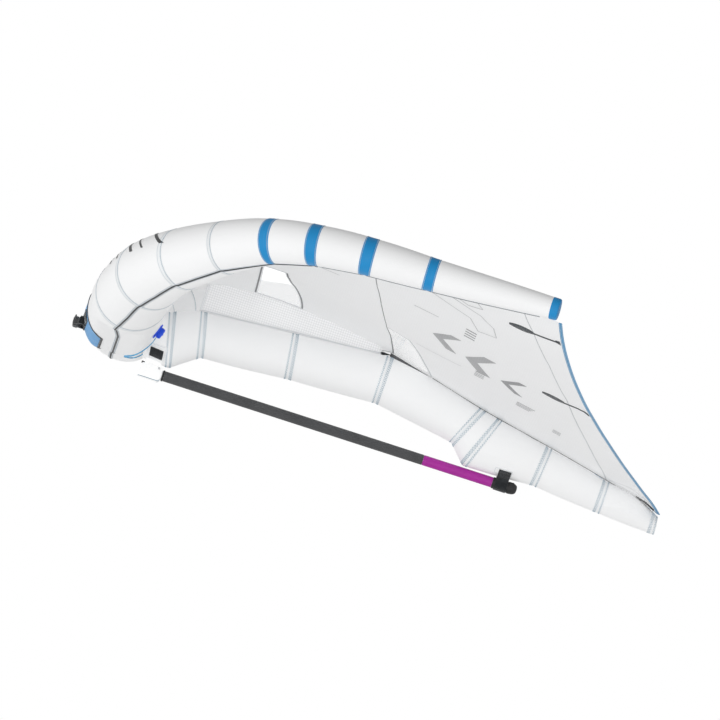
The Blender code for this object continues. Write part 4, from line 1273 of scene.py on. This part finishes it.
def chevron(soup, side, tip, length, half, w, n=6):
    """A chevron pointing to -Y with its tip at the given plan point."""
    x, y = tip
    for k in (-1, 1):
        quad_mark(soup, side, ((x, y), (x + k * half, y + length), (x + k * half, y + length + w), (x, y + w)), n, 3)


for side, tag in SIDES:
    d, m, l = Soup(), Soup(), Soup()
    chevron(d, side, (.86, 1.020), .060, .085, .040)
    chevron(d, side, (.80, 1.150), .060, .100, .046)
    chevron(m, side, (.74, 1.290), .060, .085, .030)
    for i in range(4):
        bar_mark(m, side, (1.085 - .022 * i, 1.120), (1.085 - .022 * i, 1.160), .008, 4)
        bar_mark(m, side, (.700 - .022 * i, 1.200), (.700 - .022 * i, 1.235), .008, 4)
    for ring in ([(1.335, .930), (1.350, .980), (1.340, 1.105), (1.300, 1.150), (1.270, 1.100), (1.285, .960)],
                 [(1.245, .900), (1.262, .960), (1.252, 1.150), (1.215, 1.205), (1.150, 1.225), (1.120, 1.160), (1.190, 1.120), (1.205, .930)]):
        for a, b in zip(ring, ring[1:] + ring[:1]):
            bar_mark(l, side, a, b, .0042, 8)
    for i in range(4):
        bar_mark(m, side, (.47 + .022 * i, 1.37), (.47 + .022 * i, 1.42 + .006 * i), .009, 4)
    for i in range(3):
        bar_mark(m, side, (.33 + .022 * i, 1.52), (.33 + .022 * i, 1.55), .008, 4)
    bar_mark(l, side, (1.03, .93), (1.05, 1.02), .0050, 10)
    bar_mark(l, side, (.62, .98), (.66, 1.15), .0040, 10)
    bar_mark(l, side, (.92, .56), (.93, .66), .0048, 8)
    bar_mark(l, side, (1.18, .47), (1.19, .58), .0048, 8)
    d.make('printed_chevrons_' + tag, M_PRINT, 'wing', 'batten_grey')
    m.make('printed_bars_' + tag, M_PRINT_MID, 'wing', 'batten_grey')
    l.make('printed_lines_' + tag, M_PRINT_LT, 'wing', 'canopy_white')

# slanted stripes across the top of the leading edge
soup = Soup()
for side in (1, -1):
    for s0, w in ((.27, .014), (.33, .010), (.42, .016), (.48, .010), (.57, .016), (.63, .010), (.72, .016), (.78, .010), (.87, .016), (.93, .010), (1.02, .016)):
        us = [i / 16 for i in range(17)]
        rows, uvs = [], []
        for u in us:
            deg = 112 + 54 * u
            s = side * (s0 + .110 * u)
            rows.append([on_tube(s + side * w * (k / 4 - .5), deg, .0010) for k in range(5)])
            uvs.append([(s + w * (k / 4 - .5), u * .1) for k in range(5)])
        soup.grid(rows, uvs, flip=side > 0)
soup.make('printed_stripes', M_PRINT_BLACK, 'wing', 'batten_grey')

# ============================================================================ web
ys = arange(.245, .885, .0125)
soup = Soup()
rows, uvs = [], []
for y in ys:
    lo = strut_top(y) + .0016
    hi = keel_z(y) + .0002
    n = 8
    wob = .0016 * math.sin(9 * y) * min(1, (y - .245) / .05, (.885 - y) / .05)
    col = []
    for side in (1, -1):
        for k in (range(n + 1) if side > 0 else range(n, -1, -1)):
            z = lo + (hi - lo) * k / n
            col.append((side * .0004 + wob * math.sin(math.pi * k / n), y, z))
    rows.append(col)
    uvs.append([(y, c[2]) for c in col] + [(y, col[0][2])])
soup.grid(rows, uvs, close_j=True)
soup.poly(rows[0][::-1], [u for u in uvs[0][:-1]][::-1])
soup.poly(rows[-1], uvs[-1][:-1])
web = soup.make('strut_web_sheet', M_WEB, 'wing', 'web_scrim', True, 50)
bm = bmesh.new()
bm.from_mesh(web.data)
bmesh.ops.remove_doubles(bm, verts=bm.verts, dist=1e-6)
bmesh.ops.recalc_face_normals(bm, faces=bm.faces)
bm.to_mesh(web.data)
bm.free()
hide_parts('strut_web')
edge = Soup()
for y0 in (.2465,):
    z0, z1 = strut_top(.245) + .001, keel_z(.245) - .001
    for k in (-1, 1):
        P = [[(k * h, y0 + v, z0 + (z1 - z0) * i / 12) for v, h in ((-.0035, .0004), (-.0025, .0011), (.0045, .0011), (.0055, .0004))] for i in range(13)]
        edge.grid(P, [[(z0 + (z1 - z0) * i / 12, v) for v in (-.0035, -.0025, .0045, .0055)] for i in range(13)], flip=k > 0)
edge.make('web_edge_tape', M_FRAME, 'wing', 'web_scrim')
# sewn foot of the web along the strut's crown
foot = Soup()
for k in (-1, 1):
    P, UV = [], []
    for y in ys:
        z = strut_top(y)
        P.append([(k * .0007, y, z + .010), (k * .0016, y, z + .0035), (k * .0120, y, z + .0022), (k * .0135, y, z + .0010)])
        UV.append([(y, v) for v in (0, .004, .012, .014)])
    foot.grid(P, UV, flip=k > 0)
foot.make('web_foot_tape', M_FRAME, 'wing', 'web_scrim')

# ============================================================ nose patch and handle
NOSE_W, CH = .280, .055


def nose_edges(s):
    k = max(0.0, abs(s) - (NOSE_W - CH)) / CH
    return 168 + 12 * k, 247.5 - 13 * k


ss = arange(-NOSE_W, NOSE_W, .010)
soup = Soup()
P, UV = [], []
for s in ss:
    a, b = nose_edges(s)
    P.append([on_tube(s, a + (b - a) * i / 32, .0014 - (.0010 if i in (0, 32) else 0)) for i in range(33)])
    UV.append([(s, .1295 * math.radians(a + (b - a) * i / 32)) for i in range(33)])
soup.grid(P, UV, flip=True)
o = soup.make('nose_patch_panel', M_NOSE, 'wing', 'nose_blue')
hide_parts('nose_patch')
soup = Soup()
thr = Soup()
loop = [(s, nose_edges(s)[1]) for s in ss]
e0, e1 = nose_edges(NOSE_W)
loop += [(NOSE_W, e1 + (e0 - e1) * i / 16) for i in range(1, 16)]
loop += [(s, nose_edges(s)[0]) for s in ss[::-1]]
loop += [(-NOSE_W, e0 + (e1 - e0) * i / 16) for i in range(1, 16)]
mid = (0.0, 207.0)
P, UV = [], []
R0 = .1295
flat = [np.array([s, math.radians(d) * R0]) for s, d in loop]
n = len(flat)
for i in range(n):
    t = flat[(i + 1) % n] - flat[(i - 1) % n]
    t /= np.linalg.norm(t)
    nn = np.array([t[1], -t[0]])
    if np.dot(nn, flat[i] - np.array([0, math.radians(207) * R0])) < 0:
        nn = -nn
    row, uv = [], []
    for v, h in ((-.0030, .0012), (-.0026, .0026), (.0012, .0028), (.0050, .0024), (.0062, .0008)):
        q = flat[i] + nn * v
        row.append(on_tube(q[0], math.degrees(q[1] / R0), h))
        uv.append((i * .010, v))
    P.append(row)
    UV.append(uv)
UV.append([(n * .010, v) for v in (-.0030, -.0026, .0012, .0050, .0062)])
soup.grid(P, UV, close_i=True, flip=True)
o = soup.make('nose_patch_binding', M_WEBBING, 'wing', 'webbing_black')
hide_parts('nose_patch_border')
pts = [on_tube(q[0], math.degrees(q[1] / R0), .0028) for q in flat] + [on_tube(flat[0][0], math.degrees(flat[0][1] / R0), .0028)]
nor = [np.array([0, p[1], p[2]]) / math.hypot(p[1], p[2]) for p in pts]
dashes(thr, pts, nor, .0060, .0038, .0010, .0005, side=.0010)
thr.make('nose_patch_threads', M_THREAD_LT, 'wing', 'batten_grey', False)

HANDLE_Y, HANDLE_Z = -.1300, -.0470
HA = 180 + math.degrees(math.asin(.047 / .1295))
soup, thr = Soup(), Soup()
P, UV = [], []
for s in arange(-.231, .231, .007):
    k = 1 - max(0.0, abs(s) - .223) / .02
    P.append([on_tube(s, HA + 9.5 * k * v, h) for v, h in ((-1, .0016), (-.96, .0046), (-.5, .0050), (0, .0052), (.5, .0050), (.96, .0046), (1, .0016))])
    UV.append([(s, .0215 * v) for v in (-1, -.96, -.5, 0, .5, .96, 1)])
soup.grid(P, UV, flip=True)
o = soup.make('nose_handle_webbing', M_WEBBING, 'wing', 'webbing_black', True, 50)
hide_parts('nose_handle_base')
for k in (-1, 1):
    for s0 in (k * .072, k * .150, k * .224):
        pts = [on_tube(s0, HA + 7.5 * v, .0052) for v in (-1, -.5, 0, .5, 1)]
        nor = [np.array([0, p[1], p[2]]) / math.hypot(p[1], p[2]) for p in pts]
        dashes(thr, pts, nor, .0034, .0024, .0009, .0004)
    for v in (-7.5, 7.5):
        pts = [on_tube(k * (.072 + .152 * i / 32), HA + v, .0052) for i in range(33)]
        nor = [np.array([0, p[1], p[2]]) / math.hypot(p[1], p[2]) for p in pts]
        dashes(thr, pts, nor, .0034, .0024, .0009, .0004)
thr.make('nose_handle_threads', M_THREAD_LT, 'wing', 'batten_grey', False)


def handle_rows(grow=0.0, u0=-1.0, u1=1.0, n=60, sides=24):
    path, wid, us = [], [], []
    yb = HANDLE_Y - .0045
    for i in range(n + 1):
        u = u0 + (u1 - u0) * i / n
        k = min(1.0, (1 - abs(u)) / .34)
        k = k * k * (3 - 2 * k)
        path.append(Vector((.098 * u, yb - .0150 * k, HANDLE_Z - .0045)))
        wid.append((.0048 + .0048 * k + grow, .0092 + .0052 * k + grow))
        us.append(.13 * u)
    rows, uvs = [], []
    for i in range(n + 1):
        a, b = path[max(i - 1, 0)], path[min(i + 1, n)]
        d = (b - a).normalized()
        nn = Vector((0, 0, 1)).cross(d).normalized()
        t, h = wid[i]
        row = []
        for k in range(sides):
            q = 2 * math.pi * k / sides
            cx, cz = math.cos(q), math.sin(q)
            r = 1.0 / (abs(cx)**4 + abs(cz)**4) ** .25
            row.append(tuple(path[i] + nn * (t * cx * r) + Vector((0, 0, 1)) * (h * cz * r)))
        rows.append(row)
        uvs.append([(us[i], .06 * k / sides) for k in range(sides + 1)])
    return rows, uvs


soup = Soup()
rows, uvs = handle_rows()
soup.grid(rows, uvs, close_j=True, flip=True)
soup.poly(rows[0])
soup.poly(rows[-1][::-1])
o = soup.make('nose_handle_strap', M_WEBBING, 'handle', 'webbing_black', True, 60)
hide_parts('nose_handle')
# padded sleeve on the bar, with raised hems at its ends and a sewn rib
pad = Soup()
rows, uvs = handle_rows(.0012, -.60, .60, 48)
pad.grid(rows, uvs, close_j=True, flip=True)
for e in (-.60, .60):
    hem, uvh = handle_rows(.0024, e - .02, e + .02, 6)
    pad.grid(hem, uvh, close_j=True, flip=True)
rib, uvr = [], []
for i in range(41):
    u = -.58 + 1.16 * i / 40
    k = min(1.0, (1 - abs(u)) / .34)
    k = k * k * (3 - 2 * k)
    y = HANDLE_Y - .0045 - .0150 * k - (.0048 + .0048 * k) * .60
    z = HANDLE_Z - .0045 + .0092 + .0052 * k
    x = .098 * u
    rib.append([(x, y - .0026, z - .0020), (x, y - .0024, z + .0058), (x, y + .0018, z + .0062), (x, y + .0024, z - .0020)])
    uvr.append([(x, v) for v in (0, .004, .008, .012)])
pad.grid(rib, uvr)
pad.make('nose_handle_pad', M_PIPING, 'handle', 'webbing_black', True, 60)
# sewn ears on the patch that hold the handle's two ends
ears = Soup()
for k in (-1, 1):
    ears.box((.0200, .0260, .0230), (k * .1080, -.1270, HANDLE_Z - .0020))
    ears.box((.0240, .0060, .0290), (k * .1080, -.1170, HANDLE_Z - .0020))
    ears.box((.0060, .0240, .0060), (k * .1080, -.1260, HANDLE_Z + .0110))
rounded(ears.make('nose_handle_ears', M_WEBBING, 'wing', 'webbing_black', False), .0016, 3)

# ========================================================================= valve
VALVE_L, VALVE_ANGLE = .3548, -19.0
vc, vt, vup, vrear = tube_frame(VALVE_L)
va = math.radians(VALVE_ANGLE)
vn = math.cos(va) * vrear + math.sin(va) * vup
vr = radius(VALVE_L, False)
VA = tuple(vc + vn * (vr + .0012))
VN = tuple(vn)
prof = [(0, .0060), (.0160, .0060), (.0182, .0064), (.0188, .0056), (.0212, .0050), (.0245, .0046), (.0258, .0050), (.0266, .0046),
        (.0280, .0034), (.0288, .0020), (.0286, .0002), (.0200, -.0014), (0, -.0014)]
o = lathe('valve_collar', prof, M_VALVE, 'wing', 'valve_blue', VA, VN, 72, 30)
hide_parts('valve_flange')
cap = [(0, .0215), (.0070, .0215), (.0082, .0215), (.0088, .0210), (.0120, .0210), (.0126, .0215), (.0150, .0215), (.0165, .0208), (.0178, .0194), (.0185, .0176),
       (.0187, .0160), (.0187, .0140), (.0181, .0135), (.0181, .0128), (.0187, .0122), (.0187, .0074), (.0183, .0068), (0, .0068)]
o = lathe('valve_lid', cap, M_VALVE, 'valve', 'valve_blue', VA, VN, 72, 30)
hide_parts('valve_cap')
q = Vector((0, 0, 1)).rotation_difference(Vector(VN)).to_matrix()
knurl = Soup()
for i in range(24):
    a = 2 * math.pi * i / 24
    R = q @ Matrix.Rotation(a, 3, 'Z')
    knurl.box((.0018, .0022, .0090), Vector(VA) + R @ Vector((.0187, 0, .0120)), R)
knurl.box((.0250, .0040, .0030), Vector(VA) + q @ Vector((0, 0, .0222)), q)
o = rounded(knurl.make('valve_lid_grip', M_VALVE, 'valve', 'valve_blue', False), .0004, 2)

# =========================================================================== boom
Y = (0, 1, 0)
for n in ('boom_tube', 'boom_inner_tube'):
    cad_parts[n].data.materials.clear()
    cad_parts[n].data.materials.append(M_ALLOY)

hollow = lambda r0, r1, y0, y1, c: [(r0, y1), (r1 - c, y1), (r1 - c * .3, y1 - c * .3), (r1, y1 - c), (r1, y0 + c), (r1 - c * .3, y0 + c * .3), (r1 - c, y0), (r0, y0)]
prof = [(.0162, 1.1340), (.0170, 1.1340), (.0177, 1.1334), (.0180, 1.1322)]
for y in arange(1.128, .203, .0125):
    prof.append((.0180, y))
prof += [(.0180, .2000), (.0184, .1990), (.0184, .1978), (.0178, .1966), (.0162, .1966)]
o = lathe('grip_sleeve', prof, M_GRIP, 'boom', 'grip_grey', n=64, closed=True)
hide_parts('boom_grip')
o = lathe('collar_ring', [(.0162, .1960), (.0186, .1960), (.0196, .1955), (.0200, .1946), (.0200, .1932), (.0194, .1926), (.0194, .1918), (.0200, .1912), (.0200, .1902), (.0190, .1892), (.0162, .1892)],
          M_FITB, 'boom', 'fitting_black', closed=True)
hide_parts('boom_collar')
prof = [(.0138, 1.3850), (.0174, 1.3850), (.0179, 1.3846), (.0180, 1.3838)]
for y in arange(1.380, 1.150, .02):
    prof.append((.0180, y))
prof += [(.0180, 1.1475), (.0183, 1.1468), (.0183, 1.1440), (.0180, 1.1433), (.0180, 1.1362), (.0177, 1.1350), (.0171, 1.1345), (.0138, 1.1345)]
o = lathe('tail_sleeve', prof, M_PURPLE, 'tail', 'tail_purple', closed=True)
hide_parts('boom_tail')

# end cap: socket, groove, rounded nose with a cut notch and a release button
prof = [(0, 1.4315), (.0138, 1.4315), (.0138, 1.3856), (.0186, 1.3856), (.0194, 1.3861), (.0199, 1.3872), (.0199, 1.3905), (.0195, 1.3910), (.0195, 1.3925),
        (.0199, 1.3930), (.0199, 1.4385), (.0196, 1.4395), (.0196, 1.4405), (.0206, 1.4412), (.0211, 1.4430), (.0210, 1.4480), (.0205, 1.4535), (.0195, 1.4590),
        (.0180, 1.4640), (.0158, 1.4680), (.0130, 1.4708), (.0094, 1.4724), (.0050, 1.4732), (0, 1.4735)]
o = lathe('end_plug', prof[::-1], M_FITB, 'tail', 'fitting_black', n=64, sharp=32)
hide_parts('boom_end_cap')
btn = Soup()
for k in (-1, 1):
    btn.box((.0026, .0110, .0070), (k * .0208, 1.4500, BOOM_Z + .001))
btn.box((.0120, .0060, .0040), (0, 1.4560, BOOM_Z + .0188))
rounded(btn.make('end_plug_release', M_FITB, 'tail', 'fitting_black', False), .0009, 3)
ring = lathe('end_plug_button_ring', [(.0028, -.0006), (.0052, -.0006), (.0056, .0002), (.0052, .0010), (.0028, .0010)], M_STEEL, 'tail', 'tube_alloy',
             (.0196, 1.4300, BOOM_Z), (1, 0, 0), 32, closed=True)

# white front socket: moulded shoe with ribs, a split line and two screws
outline = [(.1125, -.1078), (.1068, -.1500), (.1068, -.1628), (.1788, -.1628), (.1873, -.1543), (.1873, -.1217), (.1768, -.1078)]
W = .0273
bm = bmesh.new()
a = [bm.verts.new((-W, y, z)) for y, z in outline]
b = [bm.verts.new((W, y, z)) for y, z in outline]
bm.faces.new(a)
bm.faces.new(b[::-1])
for i in range(len(outline)):
    j = (i + 1) % len(outline)
    bm.faces.new((a[i], b[i], b[j], a[j]))
bmesh.ops.recalc_face_normals(bm, faces=bm.faces)
me = bpy.data.meshes.new('socket_shoe')
bm.to_mesh(me)
bm.free()
me.transform(Matrix.Translation(Vector(SHIFT)))
shoe = bpy.data.objects.new('socket_shoe', me)
scene.collection.objects.link(shoe)
bm = bmesh.new()
bmesh.ops.create_cone(bm, cap_ends=True, segments=64, radius1=.0163, radius2=.0163, depth=.12)
me2 = bpy.data.meshes.new('bore')
bm.to_mesh(me2)
bm.free()
me2.transform(Matrix.Rotation(math.radians(90), 4, 'X'))
me2.transform(Matrix.Translation(Vector((0, .1295 + .06, BOOM_Z)) + Vector(SHIFT)))
bore = bpy.data.objects.new('bore', me2)
scene.collection.objects.link(bore)
m = shoe.modifiers.new('Round', 'BEVEL')
m.width = .0055
m.segments = 5
m.limit_method = 'ANGLE'
m.angle_limit = math.radians(22)
m = shoe.modifiers.new('Bore', 'BOOLEAN')
m.operation = 'DIFFERENCE'
m.solver = 'EXACT'
m.object = bore
bpy.context.view_layer.update()
dg = bpy.context.evaluated_depsgraph_get()
me3 = bpy.data.meshes.new_from_object(shoe.evaluated_get(dg))
shoe.modifiers.clear()
shoe.data = me3
bpy.data.objects.remove(bore, do_unlink=True)
me3.materials.clear()
me3.materials.append(M_FITW)
me3.polygons.foreach_set('use_smooth', [True] * len(me3.polygons))
me3.set_sharp_from_angle(angle=math.radians(38))
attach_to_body(shoe, 'boom')
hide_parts('front_socket')
trim = Soup()
for k in (-1, 1):
    trim.box((.0016, .0600, .0022), (k * (W + .0002), .1450, -.1575))
    for i in range(3):
        trim.box((.0018, .0030, .0240), (k * (W + .0003), .1310 + .009 * i, -.1335))
rounded(trim.make('socket_ribs', M_FITW, 'boom', 'fitting_white', False), .0006, 3)
tab = Soup()
for k in (-1, 1):
    tab.box((.0040, .0110, .0040), (k * .0262, .1130, -.1120))
rounded(tab.make('socket_lock_tabs', M_FITB, 'boom', 'fitting_black', False), .0008, 2)
line = Soup()
pts = [(.1085, -.1612), (.1795, -.1612), (.1860, -.1548)]
for k in (-1, 1):
    for a, b in zip(pts, pts[1:]):
        A, B = np.array((k * (W + .0002), *a)), np.array((k * (W + .0002), *b))
        line.dash(A, B, np.array([k, 0, 0.0]), .0026, .0004)
line.make('socket_sole_line', M_THREAD, 'boom', 'fitting_black', False)
for i, k in enumerate((-1, 1)):
    lathe('socket_screw_%d' % i, [(0, .0016), (.0012, .0016), (.0014, .0006), (.0024, .0006), (.0026, .0018), (.0036, .0022), (.0044, .0016), (.0047, .0004), (.0047, -.001), (0, -.001)],
          M_STEEL, 'boom', 'tube_alloy', (k * (W + .0001), .1720, -.1180), (k, 0, 0), 32)

# ============================================================ patches and straps
soup = Soup()


_srows = [[Vector(on_strut(l, 360 * j / N)) for j in range(N)] for l in LS]
_sv = [p for r in _srows for p in r]
_sf = [(i * N + j, i * N + (j + 1) % N, (i + 1) * N + (j + 1) % N, (i + 1) * N + j) for i in range(len(LS) - 1) for j in range(N)]
STRUT_TREE = BVHTree.FromPolygons(_sv, _sf)


def strut_side(side, y, z, off):
    hit = STRUT_TREE.ray_cast(Vector((side * .5, y, z)), Vector((-side, 0, 0)))
    if hit[0] is None:
        return np.array([side * .08, y, z])
    n = np.array(hit[1])
    if n[0] * side < 0:
        n = -n
    return np.array(hit[0]) + n * off


def side_patch(soup, side, corner, u, v, nu, nv, off, thick, thr=None, edge=.004):
    """A sewn patch on the strut's side: a (y, z) parallelogram, eased at its rim."""
    P, UV = [], []
    Lu, Lv = math.hypot(*u), math.hypot(*v)
    us = [0, .02] + [i / nu for i in range(1, nu)] + [.98, 1]
    vs = [0, .03] + [i / nv for i in range(1, nv)] + [.97, 1]
    for a in us:
        row, uv = [], []
        for b in vs:
            rim = a in (0, 1) or b in (0, 1)
            y = corner[0] + u[0] * a + v[0] * b
            z = corner[1] + u[1] * a + v[1] * b
            row.append(strut_side(side, y, z, off * .3 if rim else off + thick))
            uv.append((a * Lu, b * Lv))
        P.append(row)
        UV.append(uv)
    soup.grid(P, UV, flip=(u[0] * v[1] - u[1] * v[0] > 0) == (side > 0))
    if thr is not None:
        eu, ev = edge / Lu, edge / Lv
        ring = [(eu + (1 - 2 * eu) * i / 8, ev) for i in range(9)] + [(1 - eu, ev + (1 - 2 * ev) * i / 8) for i in range(1, 9)]
        ring += [(1 - eu - (1 - 2 * eu) * i / 8, 1 - ev) for i in range(1, 9)] + [(eu, 1 - ev - (1 - 2 * ev) * i / 8) for i in range(1, 9)]
        pts, nor = [], []
        for a, b in ring:
            y = corner[0] + u[0] * a + v[0] * b
            z = corner[1] + u[1] * a + v[1] * b
            p = strut_side(side, y, z, off + thick)
            q = strut_side(side, y, z, off + thick + .002)
            pts.append(p)
            nor.append((q - p) / np.linalg.norm(q - p))
        dashes(thr, pts, nor, .0052, .0030, .0012, .0006)


for side, tag in SIDES:
    thr = Soup()
    p = Soup()
    side_patch(p, side, (.1230, -.0930), (.060, -.001), (-.004, .050), 8, 8, .0012, .0010, thr)
    o = p.make('front_patch_sewn_' + tag, M_PATCH, 'wing', 'sleeve_white', True, 50)
    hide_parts('front_patch_' + tag)
    p = Soup()
    side_patch(p, side, (.1250, -.0835), (.048, -.004), (-.003, .027), 8, 5, .0040, .0024, None)
    o = p.make('front_keeper_strap_' + tag, M_WEBBING, 'wing', 'webbing_black', True, 50)
    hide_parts('front_keeper_' + tag)
    p = Soup()
    side_patch(p, side, (1.376, -.1060), (.068, .0008), (0, .0235), 8, 6, .0008, .0008, thr)
    o = p.make('rear_patch_sewn_' + tag, M_PATCH, 'wing', 'sleeve_white', True, 50)
    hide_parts('rear_patch_' + tag)
    thr.make('patch_threads_' + tag, M_THREAD, 'wing', 'batten_grey', False)

# webbing loop that hangs the socket under the strut
loop = Soup()
prof = [(-.0245, -.0950), (-.0252, -.1000), (-.0250, -.1040), (-.0235, -.1074)]
for k in (-1, 1):
    P, UV = [], []
    for i, (x, z) in enumerate(prof):
        a, b = .1215 - .0025 * i, .1745
        P.append([(-k * x, a, z), (-k * x + k * .0022, a, z), (-k * x + k * .0022, b, z), (-k * x, b, z)])
        UV.append([(.006 * i, v) for v in (0, .002, .042, .044, .046)])
    loop.grid(P, UV, close_j=True, flip=k < 0)
loop.make('socket_hanger', M_FITW, 'boom', 'fitting_white', True, 50)

# strap round the boom's end, tabs sewn and stuck to the strut's sides
y0, y1 = 1.394, 1.438
zt = [-.0900, -.0920, -.0940, -.0960, -.0980]
pts = []
for z in zt:
    x = max(abs(strut_side(1, y, z, 0)[0]) for y in arange(y0, y1, .011))
    pts.append((x + .0030, z))
r = .0198 + .0009
pts += [(pts[-1][0] - .004, -.1020), (.0370, -.1085), (.0305, -.1140), (.0250, -.1225)]
pts += [(r * math.cos(a), BOOM_Z + r * math.sin(a)) for a in [math.radians(v) for v in (18, 5, -10, -25, -40, -55, -70, -82, -90)]]
sp = []
for i in range(len(pts) - 1):
    a, b = np.array(pts[i]), np.array(pts[i + 1])
    for k in range(3):
        sp.append(tuple(a + (b - a) * k / 3))
sp.append(pts[-1])
full = sp + [(-x, z) for x, z in sp[:-1][::-1]]
for _ in range(3):
    full = [full[0]] + [((full[i - 1][0] + 2 * full[i][0] + full[i + 1][0]) / 4, (full[i - 1][1] + 2 * full[i][1] + full[i + 1][1]) / 4) for i in range(1, len(full) - 1)] + [full[-1]]
T = .0018
strap = Soup()
P, UV = [], []
dist = 0
for i, (x, z) in enumerate(full):
    a, b = full[max(i - 1, 0)], full[min(i + 1, len(full) - 1)]
    d = np.array([b[0] - a[0], b[1] - a[1]])
    d /= np.linalg.norm(d)
    nn = np.array([-d[1], d[0]])
    if i:
        dist += math.dist(full[i - 1], full[i])
    xo, zo = x + nn[0] * T, z + nn[1] * T
    P.append([(x, y0 + .0006, z), (x, y1 - .0006, z), ((x + xo) / 2, y1, (z + zo) / 2), (xo, y1 - .0006, zo), (xo, y0 + .0006, zo), ((x + xo) / 2, y0, (z + zo) / 2)])
    UV.append([(dist, v) for v in (0, .044, .045, .046, .090, .091, .092)])
strap.grid(P, UV, close_j=True, flip=True)
strap.poly(P[0], [(v, 0) for v in range(6)])
strap.poly(P[-1][::-1], [(v, 0) for v in range(6)])
o = strap.make('rear_strap_webbing', M_WEBBING, 'tail', 'webbing_black', True, 50)
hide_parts('rear_strap')
# sewn box on each tab
thr = Soup()
for k in (-1, 1):
    X = lambda z: k * (table([(p[1], p[0]) for p in sorted(sp[:13], key=lambda q: q[1])], z) + T + .0002)
    zs = [-.0912, -.0930, -.0950, -.0966]
    for y in (y0 + .005, y1 - .005):
        pp = [np.array((X(z), y, z)) for z in zs]
        dashes(thr, pp, [np.array([k, 0, 0.0])] * len(pp), .0034, .0022, .0010, .0005)
    for z in (-.0912, -.0966):
        pp = [np.array((X(z), y, z)) for y in arange(y0 + .005, y1 - .005, .008)]
        dashes(thr, pp, [np.array([k, 0, 0.0])] * len(pp), .0034, .0022, .0010, .0005)
thr.make('rear_strap_threads', M_THREAD, 'tail', 'batten_grey', False)

# ============================================================ area of each canopy sheet (computed, not used)
for side, tag in SIDES:
    A = area_of(CANOPY[side])

# ============================================================ camera, world, stage
az, el, roll, D = math.radians(.519), math.radians(4.313), math.radians(17.889), 41.89
c = Vector((math.cos(az) * math.cos(el), -math.sin(az), -math.cos(az) * math.sin(el))).normalized()
r = Vector((0, 0, 1)).cross(c).normalized()
u = c.cross(r)
R = r * math.cos(roll) + u * math.sin(roll)
U = r * -math.sin(roll) + u * math.cos(roll)
ctr = Vector((0, 1.0, .1)) + Vector(SHIFT)
aim = ctr + R * ((360 - 406.859) / 290) - U * ((360 - 382.738) / 290)
cam = bpy.data.objects.new('camera', bpy.data.cameras.new('camera'))
scene.collection.objects.link(cam)
M = Matrix((R, U, c)).transposed().to_4x4()
M.translation = aim + c * D
cam.matrix_world = M
cam.data.sensor_width = 36
cam.data.lens = 36 * 290 * D / 720
cam.data.clip_start = 1
cam.data.clip_end = 200
scene.camera = cam

# plain white studio: brighter from the camera's side and from below, as over a white floor
key = (c * .42 - Vector((0, 0, 1)) * 1.0 - Vector((0, 1, 0)) * .36).normalized()
world = bpy.data.worlds.new('studio')
scene.world = world
world.use_nodes = True
nt = world.node_tree
nt.nodes.clear()
tc = nt.nodes.new('ShaderNodeTexCoord')
dot = nt.nodes.new('ShaderNodeVectorMath')
dot.operation = 'DOT_PRODUCT'
dot.inputs[1].default_value = key
nt.links.new(tc.outputs['Generated'], dot.inputs[0])
rng = nt.nodes.new('ShaderNodeMapRange')
rng.inputs['From Min'].default_value = -1
rng.inputs['From Max'].default_value = 1
rng.inputs['To Min'].default_value = .05
rng.inputs['To Max'].default_value = 1.52
nt.links.new(dot.outputs['Value'], rng.inputs['Value'])
bg1 = nt.nodes.new('ShaderNodeBackground')
nt.links.new(rng.outputs['Result'], bg1.inputs['Strength'])
bg1.inputs['Color'].default_value = (1, 1, 1, 1)
bg2 = nt.nodes.new('ShaderNodeBackground')
bg2.inputs['Color'].default_value = (1, 1, 1, 1)
bg2.inputs['Strength'].default_value = 1.0
lp = nt.nodes.new('ShaderNodeLightPath')
mx = nt.nodes.new('ShaderNodeMixShader')
nt.links.new(lp.outputs['Is Camera Ray'], mx.inputs[0])
nt.links.new(bg1.outputs[0], mx.inputs[1])
nt.links.new(bg2.outputs[0], mx.inputs[2])
out = nt.nodes.new('ShaderNodeOutputWorld')
nt.links.new(mx.outputs[0], out.inputs['Surface'])
scene.view_settings.view_transform = 'Standard'
scene.view_settings.look = 'None'

floor_me = bpy.data.meshes.new('floor')
bm = bmesh.new()
bmesh.ops.create_circle(bm, cap_ends=True, segments=96, radius=5.0)
bm.to_mesh(floor_me)
bm.free()
floor = bpy.data.objects.new('floor', floor_me)
floor.location = (0, .3, -3.3)
scene.collection.objects.link(floor)
fm = Mat('floor_pale', .7)
fm.color(fm.mix(fm.span(fm.noise(1.2, 2.0), 0, 1), (.86, .86, .86), (.90, .90, .90)))
fm.b.inputs['Emission Color'].default_value = (1, 1, 1, 1)
fm.b.inputs['Emission Strength'].default_value = .30
floor_me.materials.append(fm.m)

bpy.context.view_layer.update()
